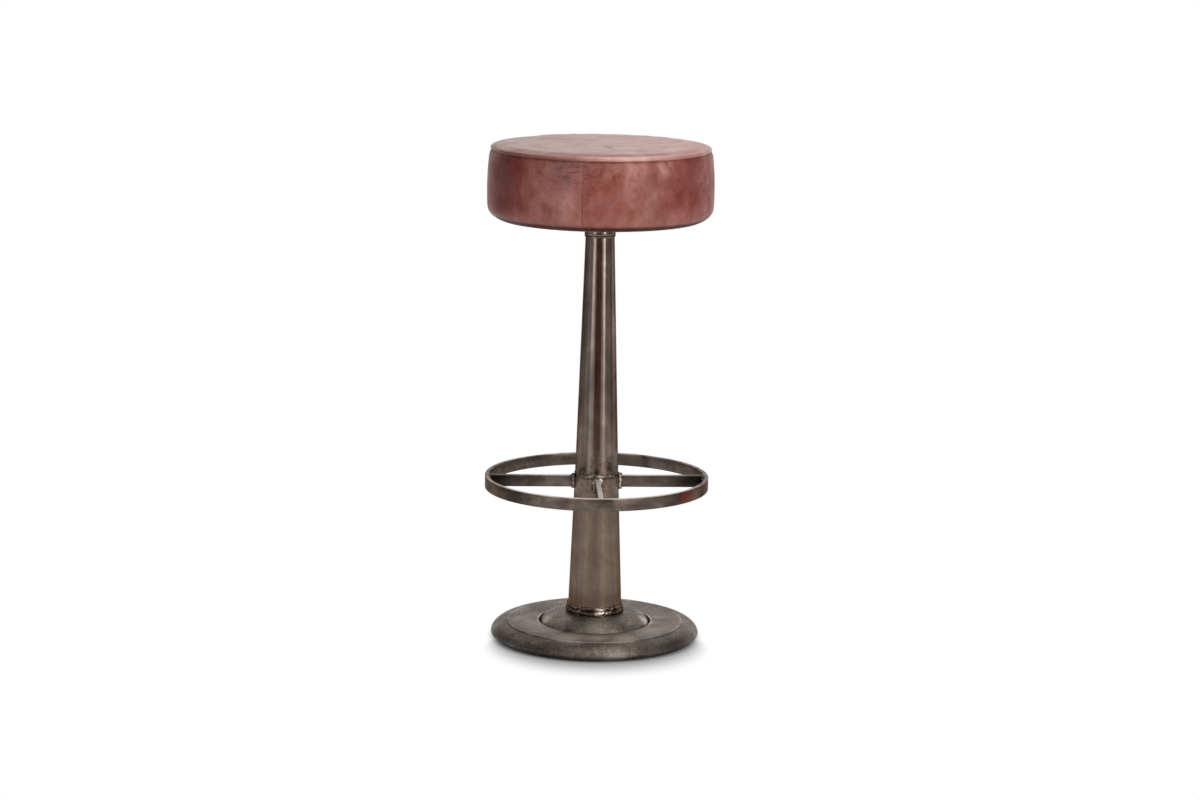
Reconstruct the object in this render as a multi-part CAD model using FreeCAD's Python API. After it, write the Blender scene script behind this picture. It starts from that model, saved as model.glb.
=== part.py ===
import FreeCAD, Part
import math
import os

# Round stool with a turning leather seat, a tapered column, a foot ring and a heavy round base.
# Millimetres, +Z up, the floor at z = 0 under the middle of the base, the front towards -Y.

# Sizes of the whole stool
seat_height = 760.0
seat_diameter = 340.0
seat_thickness = 110.0
base_diameter = 320.0
ring_diameter = 342.0
ring_top_height = 254.0

# Base casting
base_top = 26.0
base_wall = 8.0
rim_bevel_width = 13.5
rim_corner_radius = 8.0
rim_widest_height = 7.0
rim_undercut = 6.0
rim_land = 5.5
groove_diameter = 174.0
groove_width = 6.0
groove_depth = 10.5
groove_lip = 2.0
dome_side = 6.5
dome_rise = 12.0
spigot_height = 14.0

# Felt disc under the base
felt_thickness = 3.0
felt_recess = 1.2
felt_ledge = 12.0

# Column: two rolled cones, one above the other
column_wall = 2.5
column_foot_diameter = 83.0
column_joint_diameter = 66.4
foot_weld_width = 3.5
foot_weld_height = 10.0
upper_pass_width = 2.5
upper_pass_height = 7.0
weld_throat = 0.6
joint_weld_height = 5.0
joint_weld_proud = 1.5
head_weld_height = 3.0

# Foot ring and its spokes
ring_bar_height = 19.0
ring_bar_thickness = 6.0
spoke_height = 18.0
spoke_thickness = 8.0
spoke_weld_leg = 4.5
spoke_angles = {"right": 0, "back": 90, "left": 180, "front": 270}

# Swivel in the head of the column
spindle_diameter = 20.0
shoulder_diameter = 36.0
shoulder_height = 11.0
spindle_tail = 4.0
bush_wall = 3.9
bush_length = 25.0
bush_flange = 2.0
bush_spacing = 12.0
housing_wall = 5.2
housing_collar_height = 7.5
housing_collar_overhang = 1.6
thrust_washer_thickness = 1.5
retaining_washer_width = 5.0
retaining_washer_thickness = 1.5
retaining_ring_width = 4.0
retaining_ring_thickness = 1.5
retaining_ring_opening = 6.0
ring_groove_depth = 1.0

# Seat plate and its bolts
plate_diameter = 144.0
plate_thickness = 5.0
plate_weld_leg = 4.0
bolt_edge_distance = 18.0
bolt_angles = (45, 135, 225, 315)
bolt_diameter = 6.0
bolt_head_diameter = 11.0
bolt_head_height = 3.4
bolt_socket_width = 4.0
bolt_socket_depth = 2.0
bolt_tip_margin = 1.0
bolt_washer_diameter = 14.0
bolt_washer_thickness = 1.2
tee_nut_wall = 1.2
tee_nut_length = 12.0
tee_nut_flange_diameter = 19.0
tee_nut_flange = 1.5

# Upholstery
board_thickness = 18.0
leather_thickness = 2.0
lower_edge_radius = 19.0
lower_edge_inset = 1.0
widest_height = 45.0
seam_inset = 3.5
seam_drop = 10.0
welt_diameter = 4.0
welt_inset = 1.0
top_edge_width = 8.4
crown_rise = 1.5
turn_under_width = 24.0

# Dust cover and its staples
cover_thickness = 0.8
cover_lap = 11.0
cover_hole_margin = 2.0
staple_count = 24
staple_width = 10.0
staple_wire_width = 1.2
staple_wire_thickness = 0.6
staple_leg = 8.0

# Clearances
running_clearance = 0.05
press_clearance = 0.02
bolt_clearance = 0.3
locating_clearance = 0.3
soft_clearance = 0.3
end_float = 0.2
weld_clearance = 0.5

# Heights, from the floor up
felt_top = felt_thickness
base_bottom = felt_thickness - felt_recess
groove_floor = base_top - groove_depth
dome_shoulder = groove_floor + dome_side
dome_top = base_top + dome_rise
ring_bottom = ring_top_height - ring_bar_height
spoke_bottom = ring_top_height - spoke_height
joint_z = ring_top_height + weld_clearance + joint_weld_height / 2

# Heights, from the seat down to the head of the column
seat_bottom = seat_height - seat_thickness
board_bottom = seat_bottom + leather_thickness
board_top = board_bottom + board_thickness
plate_bottom = board_bottom - plate_thickness
shoulder_bottom = plate_bottom - shoulder_height
washer_bottom = shoulder_bottom - thrust_washer_thickness
housing_top = washer_bottom - bush_flange
head_z = housing_top - housing_collar_height
housing_bottom = housing_top - 2 * bush_length - bush_spacing
lower_bush_bottom = housing_bottom - bush_flange
retaining_washer_top = lower_bush_bottom - end_float
retaining_washer_bottom = retaining_washer_top - retaining_washer_thickness
retaining_ring_bottom = retaining_washer_bottom - retaining_ring_thickness

# Radii
base_radius = base_diameter / 2
felt_radius = base_radius - rim_undercut - rim_land
groove_outer = groove_diameter / 2
groove_inner = groove_outer - groove_width
ring_outer = ring_diameter / 2
ring_inner = ring_outer - ring_bar_thickness
spindle_radius = spindle_diameter / 2
shoulder_radius = shoulder_diameter / 2
bush_bore = spindle_radius + running_clearance
bush_radius = bush_bore + bush_wall
housing_bore = bush_radius + press_clearance
housing_radius = housing_bore + housing_wall
column_foot = column_foot_diameter / 2
column_joint = column_joint_diameter / 2
column_head = housing_radius + locating_clearance + column_wall
collar_radius = column_head + housing_collar_overhang
dome_land = column_foot + foot_weld_width
plate_radius = plate_diameter / 2
bolt_circle = plate_radius - bolt_edge_distance
bolt_hole = bolt_diameter / 2 + bolt_clearance
tee_nut_bore = bolt_diameter / 2 + running_clearance
tee_nut_radius = tee_nut_bore + tee_nut_wall

# Outside of the seat
widest_radius = seat_diameter / 2
lower_edge_end = widest_radius - lower_edge_inset
lower_edge_centre = lower_edge_end - lower_edge_radius
lower_edge_top = seat_bottom + lower_edge_radius
widest_z = seat_bottom + widest_height
seam_radius = widest_radius - seam_inset
seam_z = seat_height - seam_drop
welt_radius = welt_diameter / 2
welt_centre = seam_radius - welt_inset
band_top = seam_z - welt_radius - running_clearance
panel_bottom = seam_z + welt_radius + running_clearance
top_edge_radius = seam_radius - top_edge_width
top_edge_z = seat_height - crown_rise
turn_under_radius = lower_edge_centre - turn_under_width
board_radius = lower_edge_centre - soft_clearance
cover_radius = turn_under_radius + cover_lap
staple_radius = turn_under_radius + cover_lap / 2

up = FreeCAD.Vector(0, 0, 1)
middle = FreeCAD.Vector(0, 0, 0)


class Outline:
    # Half outline of a round piece in radius and height, which is turned about the upright axis.

    def __init__(self, radius, height):
        self.start = (radius, height)
        self.here = FreeCAD.Vector(radius, 0, height)
        self.edges = []

    def line(self, radius, height):
        end = FreeCAD.Vector(radius, 0, height)
        self.edges.append(Part.makeLine(self.here, end))
        self.here = end

    def arc(self, radius_between, height_between, radius, height):
        between = FreeCAD.Vector(radius_between, 0, height_between)
        end = FreeCAD.Vector(radius, 0, height)
        self.edges.append(Part.Arc(self.here, between, end).toShape())
        self.here = end

    # Quarter of a circle or an ellipse, whose centre lies level with one end and in line with the other
    def quarter(self, centre_radius, centre_height, radius, height):
        centre = FreeCAD.Vector(centre_radius, 0, centre_height)
        end = FreeCAD.Vector(radius, 0, height)
        arms = (self.here - centre, end - centre)
        if math.isclose(arms[0].Length, arms[1].Length):
            between = centre + (arms[0] + arms[1]) / math.sqrt(2)
            self.arc(between.x, between.z, radius, height)
            return
        ends = sorted((self.here, end), key=lambda point: point.distanceToPoint(centre))
        ellipse = Part.Ellipse(ends[1], ends[0], centre)
        self.edges.append(ellipse.toShape(0, math.pi / 2))
        self.here = end

    # Line to a corner that is rounded on the way to the next point
    def rounded(self, radius, height, rounding, next_radius, next_height):
        corner = FreeCAD.Vector(radius, 0, height)
        back = (self.here - corner).normalize()
        ahead = (FreeCAD.Vector(next_radius, 0, next_height) - corner).normalize()
        half = back.getAngle(ahead) / 2
        setback = rounding / math.tan(half)
        start = corner + back * setback
        end = corner + ahead * setback
        between = corner + (back + ahead).normalize() * (rounding / math.sin(half) - rounding)
        self.line(start.x, start.z)
        self.arc(between.x, between.z, end.x, end.z)

    def turn(self):
        self.line(*self.start)
        wire = Part.Wire(Part.__sortEdges__(self.edges))
        return Part.Face(wire).revolve(middle, up, 360)


def disc(radius, bottom, top):
    return Part.makeCylinder(radius, top - bottom, FreeCAD.Vector(0, 0, bottom))


def washer(bore, radius, bottom, top):
    return disc(radius, bottom, top).cut(disc(bore, bottom, top))


def block(x, y, z):
    corner = FreeCAD.Vector(x[0], y[0], z[0])
    return Part.makeBox(x[1] - x[0], y[1] - y[0], z[1] - z[0], corner)


def turned_to(shape, angle):
    copy = shape.copy()
    copy.rotate(middle, up, angle)
    return copy


def at_spokes(shapes):
    return Part.makeCompound([turned_to(shape, angle) for shape in shapes for angle in spoke_angles.values()])


# Outside radius of the lower and of the upper cone at a height
def lower_cone(height):
    return column_foot + (column_joint - column_foot) * (height - dome_top) / (joint_z - dome_top)


def upper_cone(height):
    return column_joint + (column_head - column_joint) * (height - joint_z) / (head_z - joint_z)


# Point half-way along a shallow dome between its edge and its top on the axis
def dome_middle(radius, edge, top):
    rise = top - edge
    ball = (radius ** 2 + rise ** 2) / (2 * rise)
    angle = math.asin(radius / ball) / 2
    return ball * math.sin(angle), top - ball + ball * math.cos(angle)


# Stand

def felt_disc():
    return disc(felt_radius, 0, felt_top)


def base_casting():
    recess = felt_radius + locating_clearance
    ledge = felt_radius - felt_ledge
    pocket_top = base_top - base_wall
    rib_outer = groove_outer + base_wall
    rib_inner = groove_inner - base_wall
    crown_inside = dome_top - base_wall
    spigot_top = dome_top + spigot_height
    spigot = lower_cone(spigot_top) - column_wall - locating_clearance
    outline = Outline(base_radius - rim_undercut, base_bottom)
    outline.quarter(base_radius - rim_undercut, rim_widest_height, base_radius, rim_widest_height)
    lip = groove_outer + groove_lip
    outline.rounded(base_radius - rim_bevel_width, base_top, rim_corner_radius, lip, base_top)
    outline.line(lip, base_top)
    outline.quarter(lip, base_top - groove_lip, groove_outer, base_top - groove_lip)
    outline.line(groove_outer, groove_floor)
    outline.line(groove_inner, groove_floor)
    outline.line(groove_inner, dome_shoulder)
    outline.quarter(dome_land, dome_shoulder, dome_land, dome_top)
    outline.line(spigot, dome_top)
    outline.line(spigot, spigot_top)
    outline.line(0, spigot_top)
    outline.line(0, crown_inside)
    outline.line(column_foot, crown_inside)
    outline.line(rib_inner, pocket_top)
    outline.line(rib_inner, felt_top)
    outline.line(rib_outer, felt_top)
    outline.line(rib_outer, pocket_top)
    outline.line(ledge, pocket_top)
    outline.line(ledge, felt_top)
    outline.line(recess, felt_top)
    outline.line(recess, base_bottom)
    return outline.turn()


def lower_column():
    outline = Outline(column_foot, dome_top)
    outline.line(column_joint, joint_z)
    outline.line(column_joint - column_wall, joint_z)
    outline.line(column_foot - column_wall, dome_top)
    return outline.turn()


def upper_column():
    outline = Outline(column_joint, joint_z)
    outline.line(column_head, head_z)
    outline.line(column_head - column_wall, head_z)
    outline.line(column_joint - column_wall, joint_z)
    return outline.turn()


# Two passes of weld, a thick one and a thinner one on top of it
def column_foot_weld():
    valley = dome_top + foot_weld_height
    top = valley + upper_pass_height
    outline = Outline(column_foot, dome_top)
    outline.arc(dome_land, dome_top + foot_weld_height / 2, lower_cone(valley) + weld_throat, valley)
    middle_of_pass = valley + upper_pass_height / 2
    outline.arc(lower_cone(middle_of_pass) + upper_pass_width, middle_of_pass, lower_cone(top), top)
    return outline.turn()


def column_joint_weld():
    bottom = joint_z - joint_weld_height / 2
    top = joint_z + joint_weld_height / 2
    outline = Outline(lower_cone(bottom), bottom)
    outline.arc(column_joint + joint_weld_proud, joint_z, upper_cone(top), top)
    outline.line(column_joint, joint_z)
    return outline.turn()


def foot_ring():
    return washer(ring_inner, ring_outer, ring_bottom, ring_top_height)


# Solid cone with the column's outside, which shapes what is welded to it
def column_outside():
    outline = Outline(0, dome_top)
    outline.line(column_foot, dome_top)
    outline.line(column_joint, joint_z)
    outline.line(0, joint_z)
    return outline.turn()


def right_spoke():
    half = spoke_thickness / 2
    bar = block((0, ring_outer), (-half, half), (spoke_bottom, ring_top_height))
    return bar.common(disc(ring_inner, spoke_bottom, ring_top_height)).cut(column_outside())


# Weld fillet along one edge of a spoke's end, at a distance from the axis
def spoke_fillet(distance):
    foot = FreeCAD.Vector(distance, spoke_thickness / 2, spoke_bottom)
    return Part.makeCylinder(spoke_weld_leg, spoke_height, foot, up, 180)


def both_sides(shape):
    return [shape, shape.mirror(middle, FreeCAD.Vector(0, 1, 0))]


def spoke_column_welds():
    fillet = spoke_fillet(lower_cone(spoke_bottom)).cut(column_outside())
    return at_spokes(both_sides(fillet))


def spoke_ring_welds():
    fillet = spoke_fillet(ring_inner).common(disc(ring_inner, spoke_bottom, ring_top_height))
    return at_spokes(both_sides(fillet))


def bearing_housing():
    outline = Outline(housing_bore, housing_bottom)
    outline.line(housing_radius, housing_bottom)
    outline.line(housing_radius, head_z)
    outline.line(collar_radius, head_z)
    outline.line(collar_radius, housing_top)
    outline.line(housing_bore, housing_top)
    return outline.turn()


def housing_weld():
    bottom = head_z - head_weld_height
    outline = Outline(upper_cone(bottom), bottom)
    outline.quarter(collar_radius, bottom, collar_radius, head_z)
    outline.line(column_head, head_z)
    return outline.turn()


def upper_bush():
    outline = Outline(bush_bore, housing_top - bush_length)
    outline.line(bush_radius, housing_top - bush_length)
    outline.line(bush_radius, housing_top)
    outline.line(shoulder_radius, housing_top)
    outline.line(shoulder_radius, washer_bottom)
    outline.line(bush_bore, washer_bottom)
    return outline.turn()


def lower_bush():
    outline = Outline(bush_bore, housing_bottom + bush_length)
    outline.line(bush_radius, housing_bottom + bush_length)
    outline.line(bush_radius, housing_bottom)
    outline.line(housing_radius, housing_bottom)
    outline.line(housing_radius, lower_bush_bottom)
    outline.line(bush_bore, lower_bush_bottom)
    return outline.turn()


def thrust_washer():
    return washer(bush_bore, shoulder_radius, washer_bottom, shoulder_bottom)


# Seat

def spindle():
    groove_radius = spindle_radius - ring_groove_depth
    groove_bottom = retaining_ring_bottom - end_float
    tail = groove_bottom - spindle_tail
    outline = Outline(0, tail)
    outline.line(spindle_radius, tail)
    outline.line(spindle_radius, groove_bottom)
    outline.line(groove_radius, groove_bottom)
    outline.line(groove_radius, retaining_washer_bottom)
    outline.line(spindle_radius, retaining_washer_bottom)
    outline.line(spindle_radius, shoulder_bottom)
    outline.line(shoulder_radius, shoulder_bottom)
    outline.line(shoulder_radius, plate_bottom)
    outline.line(spindle_radius, plate_bottom)
    outline.line(spindle_radius, board_bottom)
    outline.line(0, board_bottom)
    return outline.turn()


def retaining_washer():
    outside = bush_bore + retaining_washer_width
    return washer(bush_bore, outside, retaining_washer_bottom, retaining_washer_top)


def retaining_ring():
    bore = spindle_radius - ring_groove_depth + running_clearance
    outside = bore + retaining_ring_width
    half = retaining_ring_opening / 2
    ring = washer(bore, outside, retaining_ring_bottom, retaining_washer_bottom)
    opening = block((-half, half), (0, outside), (retaining_ring_bottom, retaining_washer_bottom))
    return ring.cut(opening)


def at_bolts(shape):
    moved = shape.copy()
    moved.translate(FreeCAD.Vector(bolt_circle, 0, 0))
    return Part.makeCompound([turned_to(moved, angle) for angle in bolt_angles])


def seat_plate():
    holes = at_bolts(disc(bolt_hole, plate_bottom, board_bottom))
    plate = washer(spindle_radius + press_clearance, plate_radius, plate_bottom, board_bottom)
    return plate.cut(holes)


def plate_weld():
    outline = Outline(shoulder_radius, plate_bottom)
    outline.line(shoulder_radius, plate_bottom - plate_weld_leg)
    outside = shoulder_radius + plate_weld_leg
    outline.quarter(outside, plate_bottom - plate_weld_leg, outside, plate_bottom)
    return outline.turn()


def seat_bolts():
    shank_radius = bolt_diameter / 2
    head_radius = bolt_head_diameter / 2
    head_top = plate_bottom - bolt_washer_thickness
    head_bottom = head_top - bolt_head_height
    outline = Outline(0, head_bottom)
    outline.line(shank_radius, head_bottom)
    outline.quarter(shank_radius, head_top, head_radius, head_top)
    outline.line(shank_radius, head_top)
    outline.line(shank_radius, board_top - bolt_tip_margin)
    outline.line(0, board_top - bolt_tip_margin)
    corner = FreeCAD.Vector(bolt_socket_width / math.sqrt(3), 0, head_bottom)
    corners = [turned_to(Part.Vertex(corner), 60.0 * step).Point for step in range(7)]
    socket = Part.Face(Part.makePolygon(corners)).extrude(up * bolt_socket_depth)
    return at_bolts(outline.turn().cut(socket))


def bolt_washers():
    ring = washer(bolt_hole, bolt_washer_diameter / 2, plate_bottom - bolt_washer_thickness, plate_bottom)
    return at_bolts(ring)


# Tee nut, or the room for it, which is wider by a clearance
def tee_nut(clearance):
    flange_bottom = board_top - tee_nut_flange
    outline = Outline(0, board_top)
    outline.line(tee_nut_flange_diameter / 2 + clearance, board_top)
    outline.line(tee_nut_flange_diameter / 2 + clearance, flange_bottom)
    outline.line(tee_nut_radius + clearance, flange_bottom)
    outline.line(tee_nut_radius + clearance, board_top - tee_nut_length)
    outline.line(0, board_top - tee_nut_length)
    return outline.turn()


def tee_nuts():
    nut = tee_nut(0).cut(disc(tee_nut_bore, board_bottom, board_top))
    return at_bolts(nut)


def seat_board():
    board = disc(board_radius, board_bottom, board_top)
    board = board.cut(at_bolts(tee_nut(press_clearance)))
    board = board.cut(at_bolts(disc(bolt_hole, board_bottom, board_top)))
    return board.cut(cover_staples())


def foam_pad():
    ceiling = leather_thickness + soft_clearance
    edge = top_edge_z - ceiling
    centre = seat_height - ceiling
    outline = Outline(0, board_top)
    outline.line(board_radius, board_top)
    outline.line(board_radius, edge)
    outline.arc(*dome_middle(board_radius, edge, centre), 0, centre)
    return outline.turn()


def wadding_wrap():
    inset = leather_thickness + soft_clearance
    welt_side = welt_centre - welt_radius - soft_clearance
    below_welt = band_top - soft_clearance
    ceiling = top_edge_z - inset
    outline = Outline(lower_edge_centre, seat_bottom + inset)
    outline.quarter(lower_edge_centre, lower_edge_top, lower_edge_end - inset, lower_edge_top)
    outline.arc(widest_radius - inset, widest_z, seam_radius - inset, below_welt)
    outline.line(welt_side, below_welt)
    outline.line(welt_side, panel_bottom)
    outline.quarter(top_edge_radius, panel_bottom, top_edge_radius, ceiling)
    outline.line(lower_edge_centre, ceiling)
    return outline.turn()


def leather_top():
    inside = seat_height - leather_thickness
    inside_edge = top_edge_z - leather_thickness
    outline = Outline(0, seat_height)
    outline.arc(*dome_middle(top_edge_radius, top_edge_z, seat_height), top_edge_radius, top_edge_z)
    outline.quarter(top_edge_radius, panel_bottom, seam_radius, panel_bottom)
    outline.line(seam_radius - leather_thickness, panel_bottom)
    outline.quarter(top_edge_radius, panel_bottom, top_edge_radius, inside_edge)
    outline.arc(*dome_middle(top_edge_radius, inside_edge, inside), 0, inside)
    return outline.turn()


def leather_side_band():
    outline = Outline(lower_edge_centre, seat_bottom)
    outline.quarter(lower_edge_centre, lower_edge_top, lower_edge_end, lower_edge_top)
    outline.arc(widest_radius, widest_z, seam_radius, band_top)
    outline.line(seam_radius - leather_thickness, band_top)
    inside = lower_edge_end - leather_thickness
    outline.arc(widest_radius - leather_thickness, widest_z, inside, lower_edge_top)
    outline.quarter(lower_edge_centre, lower_edge_top, lower_edge_centre, board_bottom)
    turned_under = washer(turn_under_radius, lower_edge_centre, seat_bottom, board_bottom)
    return outline.turn().fuse(turned_under.cut(cover_staples()))


def seam_welt():
    return Part.makeTorus(welt_centre, welt_radius, FreeCAD.Vector(0, 0, seam_z))


def dust_cover():
    hole = plate_radius + cover_hole_margin
    cover = washer(hole, cover_radius, seat_bottom - cover_thickness, seat_bottom)
    return cover.cut(cover_staples())


def cover_staples():
    top = seat_bottom - cover_thickness
    crown = (top - staple_wire_thickness, top)
    x = (staple_radius - staple_wire_width / 2, staple_radius + staple_wire_width / 2)
    half = staple_width / 2
    inner = half - staple_wire_thickness
    staple = block(x, (-half, half), crown)
    for leg in ((-half, -inner), (inner, half)):
        staple = staple.fuse(block(x, leg, (crown[0], top + staple_leg)))
    staple = staple.removeSplitter()
    pitch = 360.0 / staple_count
    return Part.makeCompound([turned_to(staple, pitch * (step + 0.5)) for step in range(staple_count)])


os.makedirs("parts", exist_ok=True)

pieces = (
    felt_disc, base_casting, lower_column, upper_column, column_foot_weld, column_joint_weld,
    foot_ring, spoke_column_welds, spoke_ring_welds, bearing_housing, housing_weld,
    upper_bush, lower_bush, thrust_washer, spindle, retaining_washer, retaining_ring,
    seat_plate, plate_weld, seat_bolts, bolt_washers, tee_nuts, seat_board, foam_pad,
    wadding_wrap, leather_top, leather_side_band, seam_welt, dust_cover, cover_staples,
)
for piece in pieces:
    piece().exportStep("parts/" + piece.__name__ + ".step")

for side, angle in spoke_angles.items():
    turned_to(right_spoke(), angle).exportStep("parts/spoke_" + side + ".step")
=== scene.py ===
import bpy
import math
from mathutils import Matrix, Vector


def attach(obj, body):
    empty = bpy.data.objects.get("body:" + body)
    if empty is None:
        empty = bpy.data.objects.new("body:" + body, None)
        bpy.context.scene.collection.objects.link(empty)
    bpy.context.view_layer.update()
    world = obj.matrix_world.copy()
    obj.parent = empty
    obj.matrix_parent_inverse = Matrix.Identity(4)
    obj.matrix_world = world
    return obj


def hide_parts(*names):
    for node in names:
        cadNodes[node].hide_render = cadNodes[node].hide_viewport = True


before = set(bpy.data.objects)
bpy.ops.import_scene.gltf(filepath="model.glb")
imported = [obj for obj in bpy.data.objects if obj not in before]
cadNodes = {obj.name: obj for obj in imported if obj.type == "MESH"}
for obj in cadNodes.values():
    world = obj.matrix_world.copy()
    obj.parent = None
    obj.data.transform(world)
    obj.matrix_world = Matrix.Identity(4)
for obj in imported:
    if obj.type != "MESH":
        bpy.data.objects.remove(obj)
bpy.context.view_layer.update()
scene = bpy.context.scene
scene.view_settings.view_transform = "Standard"
print("stool: frame loaded with", len(cadNodes), "nodes")

mm = 0.001


# Modelling helpers

def startFresh():
    if bpy.context.object and bpy.context.object.mode != "OBJECT":
        bpy.ops.object.mode_set(mode="OBJECT")
    bpy.ops.object.select_all(action="DESELECT")


def pick(piece):
    startFresh()
    piece.select_set(True)
    bpy.context.view_layer.objects.active = piece


# Rings on a rounded corner, as (radius, height) in mm; degrees run from 0 outwards to 90 upwards
def cornerRings(centre, width, height, start, end, steps):
    turns = [math.radians(start + (end - start) * i / steps) for i in range(steps + 1)]
    return [(centre[0] + width * math.cos(t), centre[1] + height * math.sin(t)) for t in turns]


# A circle is drawn at the first ring, then extruded and resized from ring to ring
def turnPiece(name, rings, segments, closed=False):
    startFresh()
    lastRadius, lastHeight = rings[0]
    bpy.ops.mesh.primitive_circle_add(vertices=segments, radius=lastRadius * mm,
                                      location=(0, 0, lastHeight * mm))
    piece = bpy.context.object
    piece.name = name
    bpy.ops.object.transform_apply(location=True, rotation=True, scale=True)
    bpy.ops.object.mode_set(mode="EDIT")
    bpy.ops.mesh.select_all(action="SELECT")
    for radius, height in rings[1:] + rings[:1] * closed:
        rise = (height - lastHeight) * mm
        bpy.ops.mesh.extrude_region_move(TRANSFORM_OT_translate={"value": (0, 0, rise)})
        grow = radius / lastRadius
        bpy.ops.transform.resize(value=(grow, grow, 1), center_override=(0, 0, height * mm))
        lastRadius, lastHeight = radius, height
    bpy.ops.mesh.select_all(action="SELECT")
    bpy.ops.mesh.remove_doubles(threshold=0.000005)
    bpy.ops.mesh.normals_make_consistent(inside=False)
    bpy.ops.object.mode_set(mode="OBJECT")
    return piece


# Leaves nothing of a mesh selected, so that points, edges or faces can be selected by their place
def clearSelection(piece, kind):
    pick(piece)
    bpy.ops.object.mode_set(mode="EDIT")
    bpy.ops.mesh.select_mode(type=kind)
    bpy.ops.mesh.select_all(action="DESELECT")
    bpy.ops.object.mode_set(mode="OBJECT")


# Selects the edges that run round a piece at these radii and heights, and leaves edit mode on
def selectRings(piece, places):
    clearSelection(piece, "EDGE")
    points = [(v.co.xy.length / mm, v.co.z / mm) for v in piece.data.vertices]
    for edge in piece.data.edges:
        ends = [points[i] for i in edge.vertices]
        near = [all(abs(r - e[0]) < 0.05 and abs(z - e[1]) < 0.05 for e in ends) for r, z in places]
        edge.select = any(near)
    bpy.ops.object.mode_set(mode="EDIT")


def bevelRings(piece, bevels):
    for radius, height, width, steps in bevels:
        selectRings(piece, [(radius, height)])
        bpy.ops.mesh.bevel(offset=width * mm, segments=steps, profile=0.5, affect="EDGES")
        bpy.ops.object.mode_set(mode="OBJECT")


def capRings(piece, places):
    for place in places:
        selectRings(piece, [place])
        bpy.ops.mesh.edge_face_add()
        bpy.ops.object.mode_set(mode="OBJECT")
    pick(piece)
    bpy.ops.object.mode_set(mode="EDIT")
    bpy.ops.mesh.select_all(action="SELECT")
    bpy.ops.mesh.normals_make_consistent(inside=False)
    bpy.ops.object.mode_set(mode="OBJECT")


def applyModifier(piece, kind, settings):
    pick(piece)
    modifier = piece.modifiers.new(kind.lower(), kind)
    for key, value in settings.items():
        setattr(modifier, key, value)
    bpy.ops.object.modifier_apply(modifier=modifier.name)


# Uneven surface, pushed along the normals by clouds of a size in mm
def roughen(piece, size, strength, direction="NORMAL"):
    clouds = bpy.data.textures.new(piece.name + "Clouds", "CLOUDS")
    clouds.noise_scale = size * mm
    clouds.noise_depth = 2
    applyModifier(piece, "DISPLACE", {"texture": clouds, "texture_coords": "LOCAL", "mid_level": 0.5,
                                      "strength": strength * mm, "direction": direction})


def smooth(piece, degrees=40):
    pick(piece)
    bpy.ops.object.shade_smooth_by_angle(angle=math.radians(degrees))


def settle(piece, body, slot, material, *replaced):
    piece.data.materials.clear()
    piece.data.materials.append(material)
    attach(piece, body)
    if replaced:
        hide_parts(*replaced)


# Material helpers

def linear(hexColour):
    parts = [int(hexColour[i:i + 2], 16) / 255 for i in (1, 3, 5)]
    return tuple(p / 12.92 if p <= 0.04045 else ((p + 0.055) / 1.055) ** 2.4 for p in parts) + (1.0,)


# Adds a node; settings are its properties or its sockets, links are socket: where it comes from.
# Sockets go by number where names repeat: in MapRange 1 and 2 are the range read, 3 and 4 the range given,
# in Mix 2 and 3 are the values and 6 and 7 the colours, 0 is the amount
def addNode(tree, kind, settings=None, links=None):
    made = tree.nodes.new("ShaderNode" + kind)
    for key, value in (settings or {}).items():
        if key == "stops":
            ramp = made.color_ramp.elements
            while len(ramp) < len(value):
                ramp.new(0.5)
            for element, (place, colour) in zip(ramp, value):
                element.position = place
                element.color = linear(colour)
        elif isinstance(key, int) or key in made.inputs:
            made.inputs[key].default_value = linear(value) if isinstance(value, str) else value
        else:
            setattr(made, key, value)
    for key, source in (links or {}).items():
        tree.links.new(source, made.inputs[key])
    return made


def newMaterial(name):
    material = bpy.data.materials.new(name)
    material.use_nodes = True
    tree = material.node_tree
    tree.nodes.clear()
    shader = addNode(tree, "BsdfPrincipled")
    addNode(tree, "OutputMaterial", {}, {"Surface": shader.outputs[0]})
    place = addNode(tree, "TexCoord").outputs["Object"]
    return material, tree, shader, place


def perSize(sizeMm):  # pattern scale for a feature of this size
    return 1000.0 / sizeMm


def offFrom(tree, value, centre):  # how far a value lies from a centre, on either side
    off = addNode(tree, "Math", {"operation": "SUBTRACT", 1: centre}, {0: value}).outputs[0]
    return addNode(tree, "Math", {"operation": "ABSOLUTE"}, {0: off}).outputs[0]


# Mixes a colour in round a point in mm, for real stains and for painted highlights and shade; a noise makes
# the stain's edge ragged
def stainAndLight(tree, colour, place, noise, mark):
    stretch = mark.get("stretch", (1, 1, 1))
    size = mark["size"] * mm
    centre = [c * mm * s for c, s in zip(mark["at"], stretch)]
    spot = addNode(tree, "VectorMath", {"operation": "MULTIPLY", 1: stretch}, {0: place}).outputs[0]
    away = addNode(tree, "VectorMath", {"operation": "DISTANCE", 1: centre}, {0: spot}).outputs["Value"]
    ragged = addNode(tree, "Math", {"operation": "MULTIPLY_ADD", 1: size * 1.1},
                     {0: noise, 2: away}).outputs[0]
    amount = addNode(tree, "MapRange", {1: size * 1.75, 2: size * 0.75, 4: mark["amount"]},
                     {0: ragged}).outputs[0]
    return addNode(tree, "Mix", {"data_type": "RGBA", 7: mark["colour"]}, {0: amount, 6: colour}).outputs[2]


# 1 for what the camera sees, straight, mirrored or through glass, and 0 for light that falls on matt things
def seenRays(tree):
    rays = addNode(tree, "LightPath").outputs
    either = addNode(tree, "Math", {"operation": "MAXIMUM"},
                     {0: rays["Is Camera Ray"], 1: rays["Is Glossy Ray"]})
    links = {0: either.outputs[0], 1: rays["Is Transmission Ray"]}
    return addNode(tree, "Math", {"operation": "MAXIMUM"}, links).outputs[0]


# Camera at the photograph's angle

cameraSet = {"lens": 93.09, "place": (0.0035, -4.646, 1.256), "turn": -2.6, "pitch": 79.21, "roll": 0.86}

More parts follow.
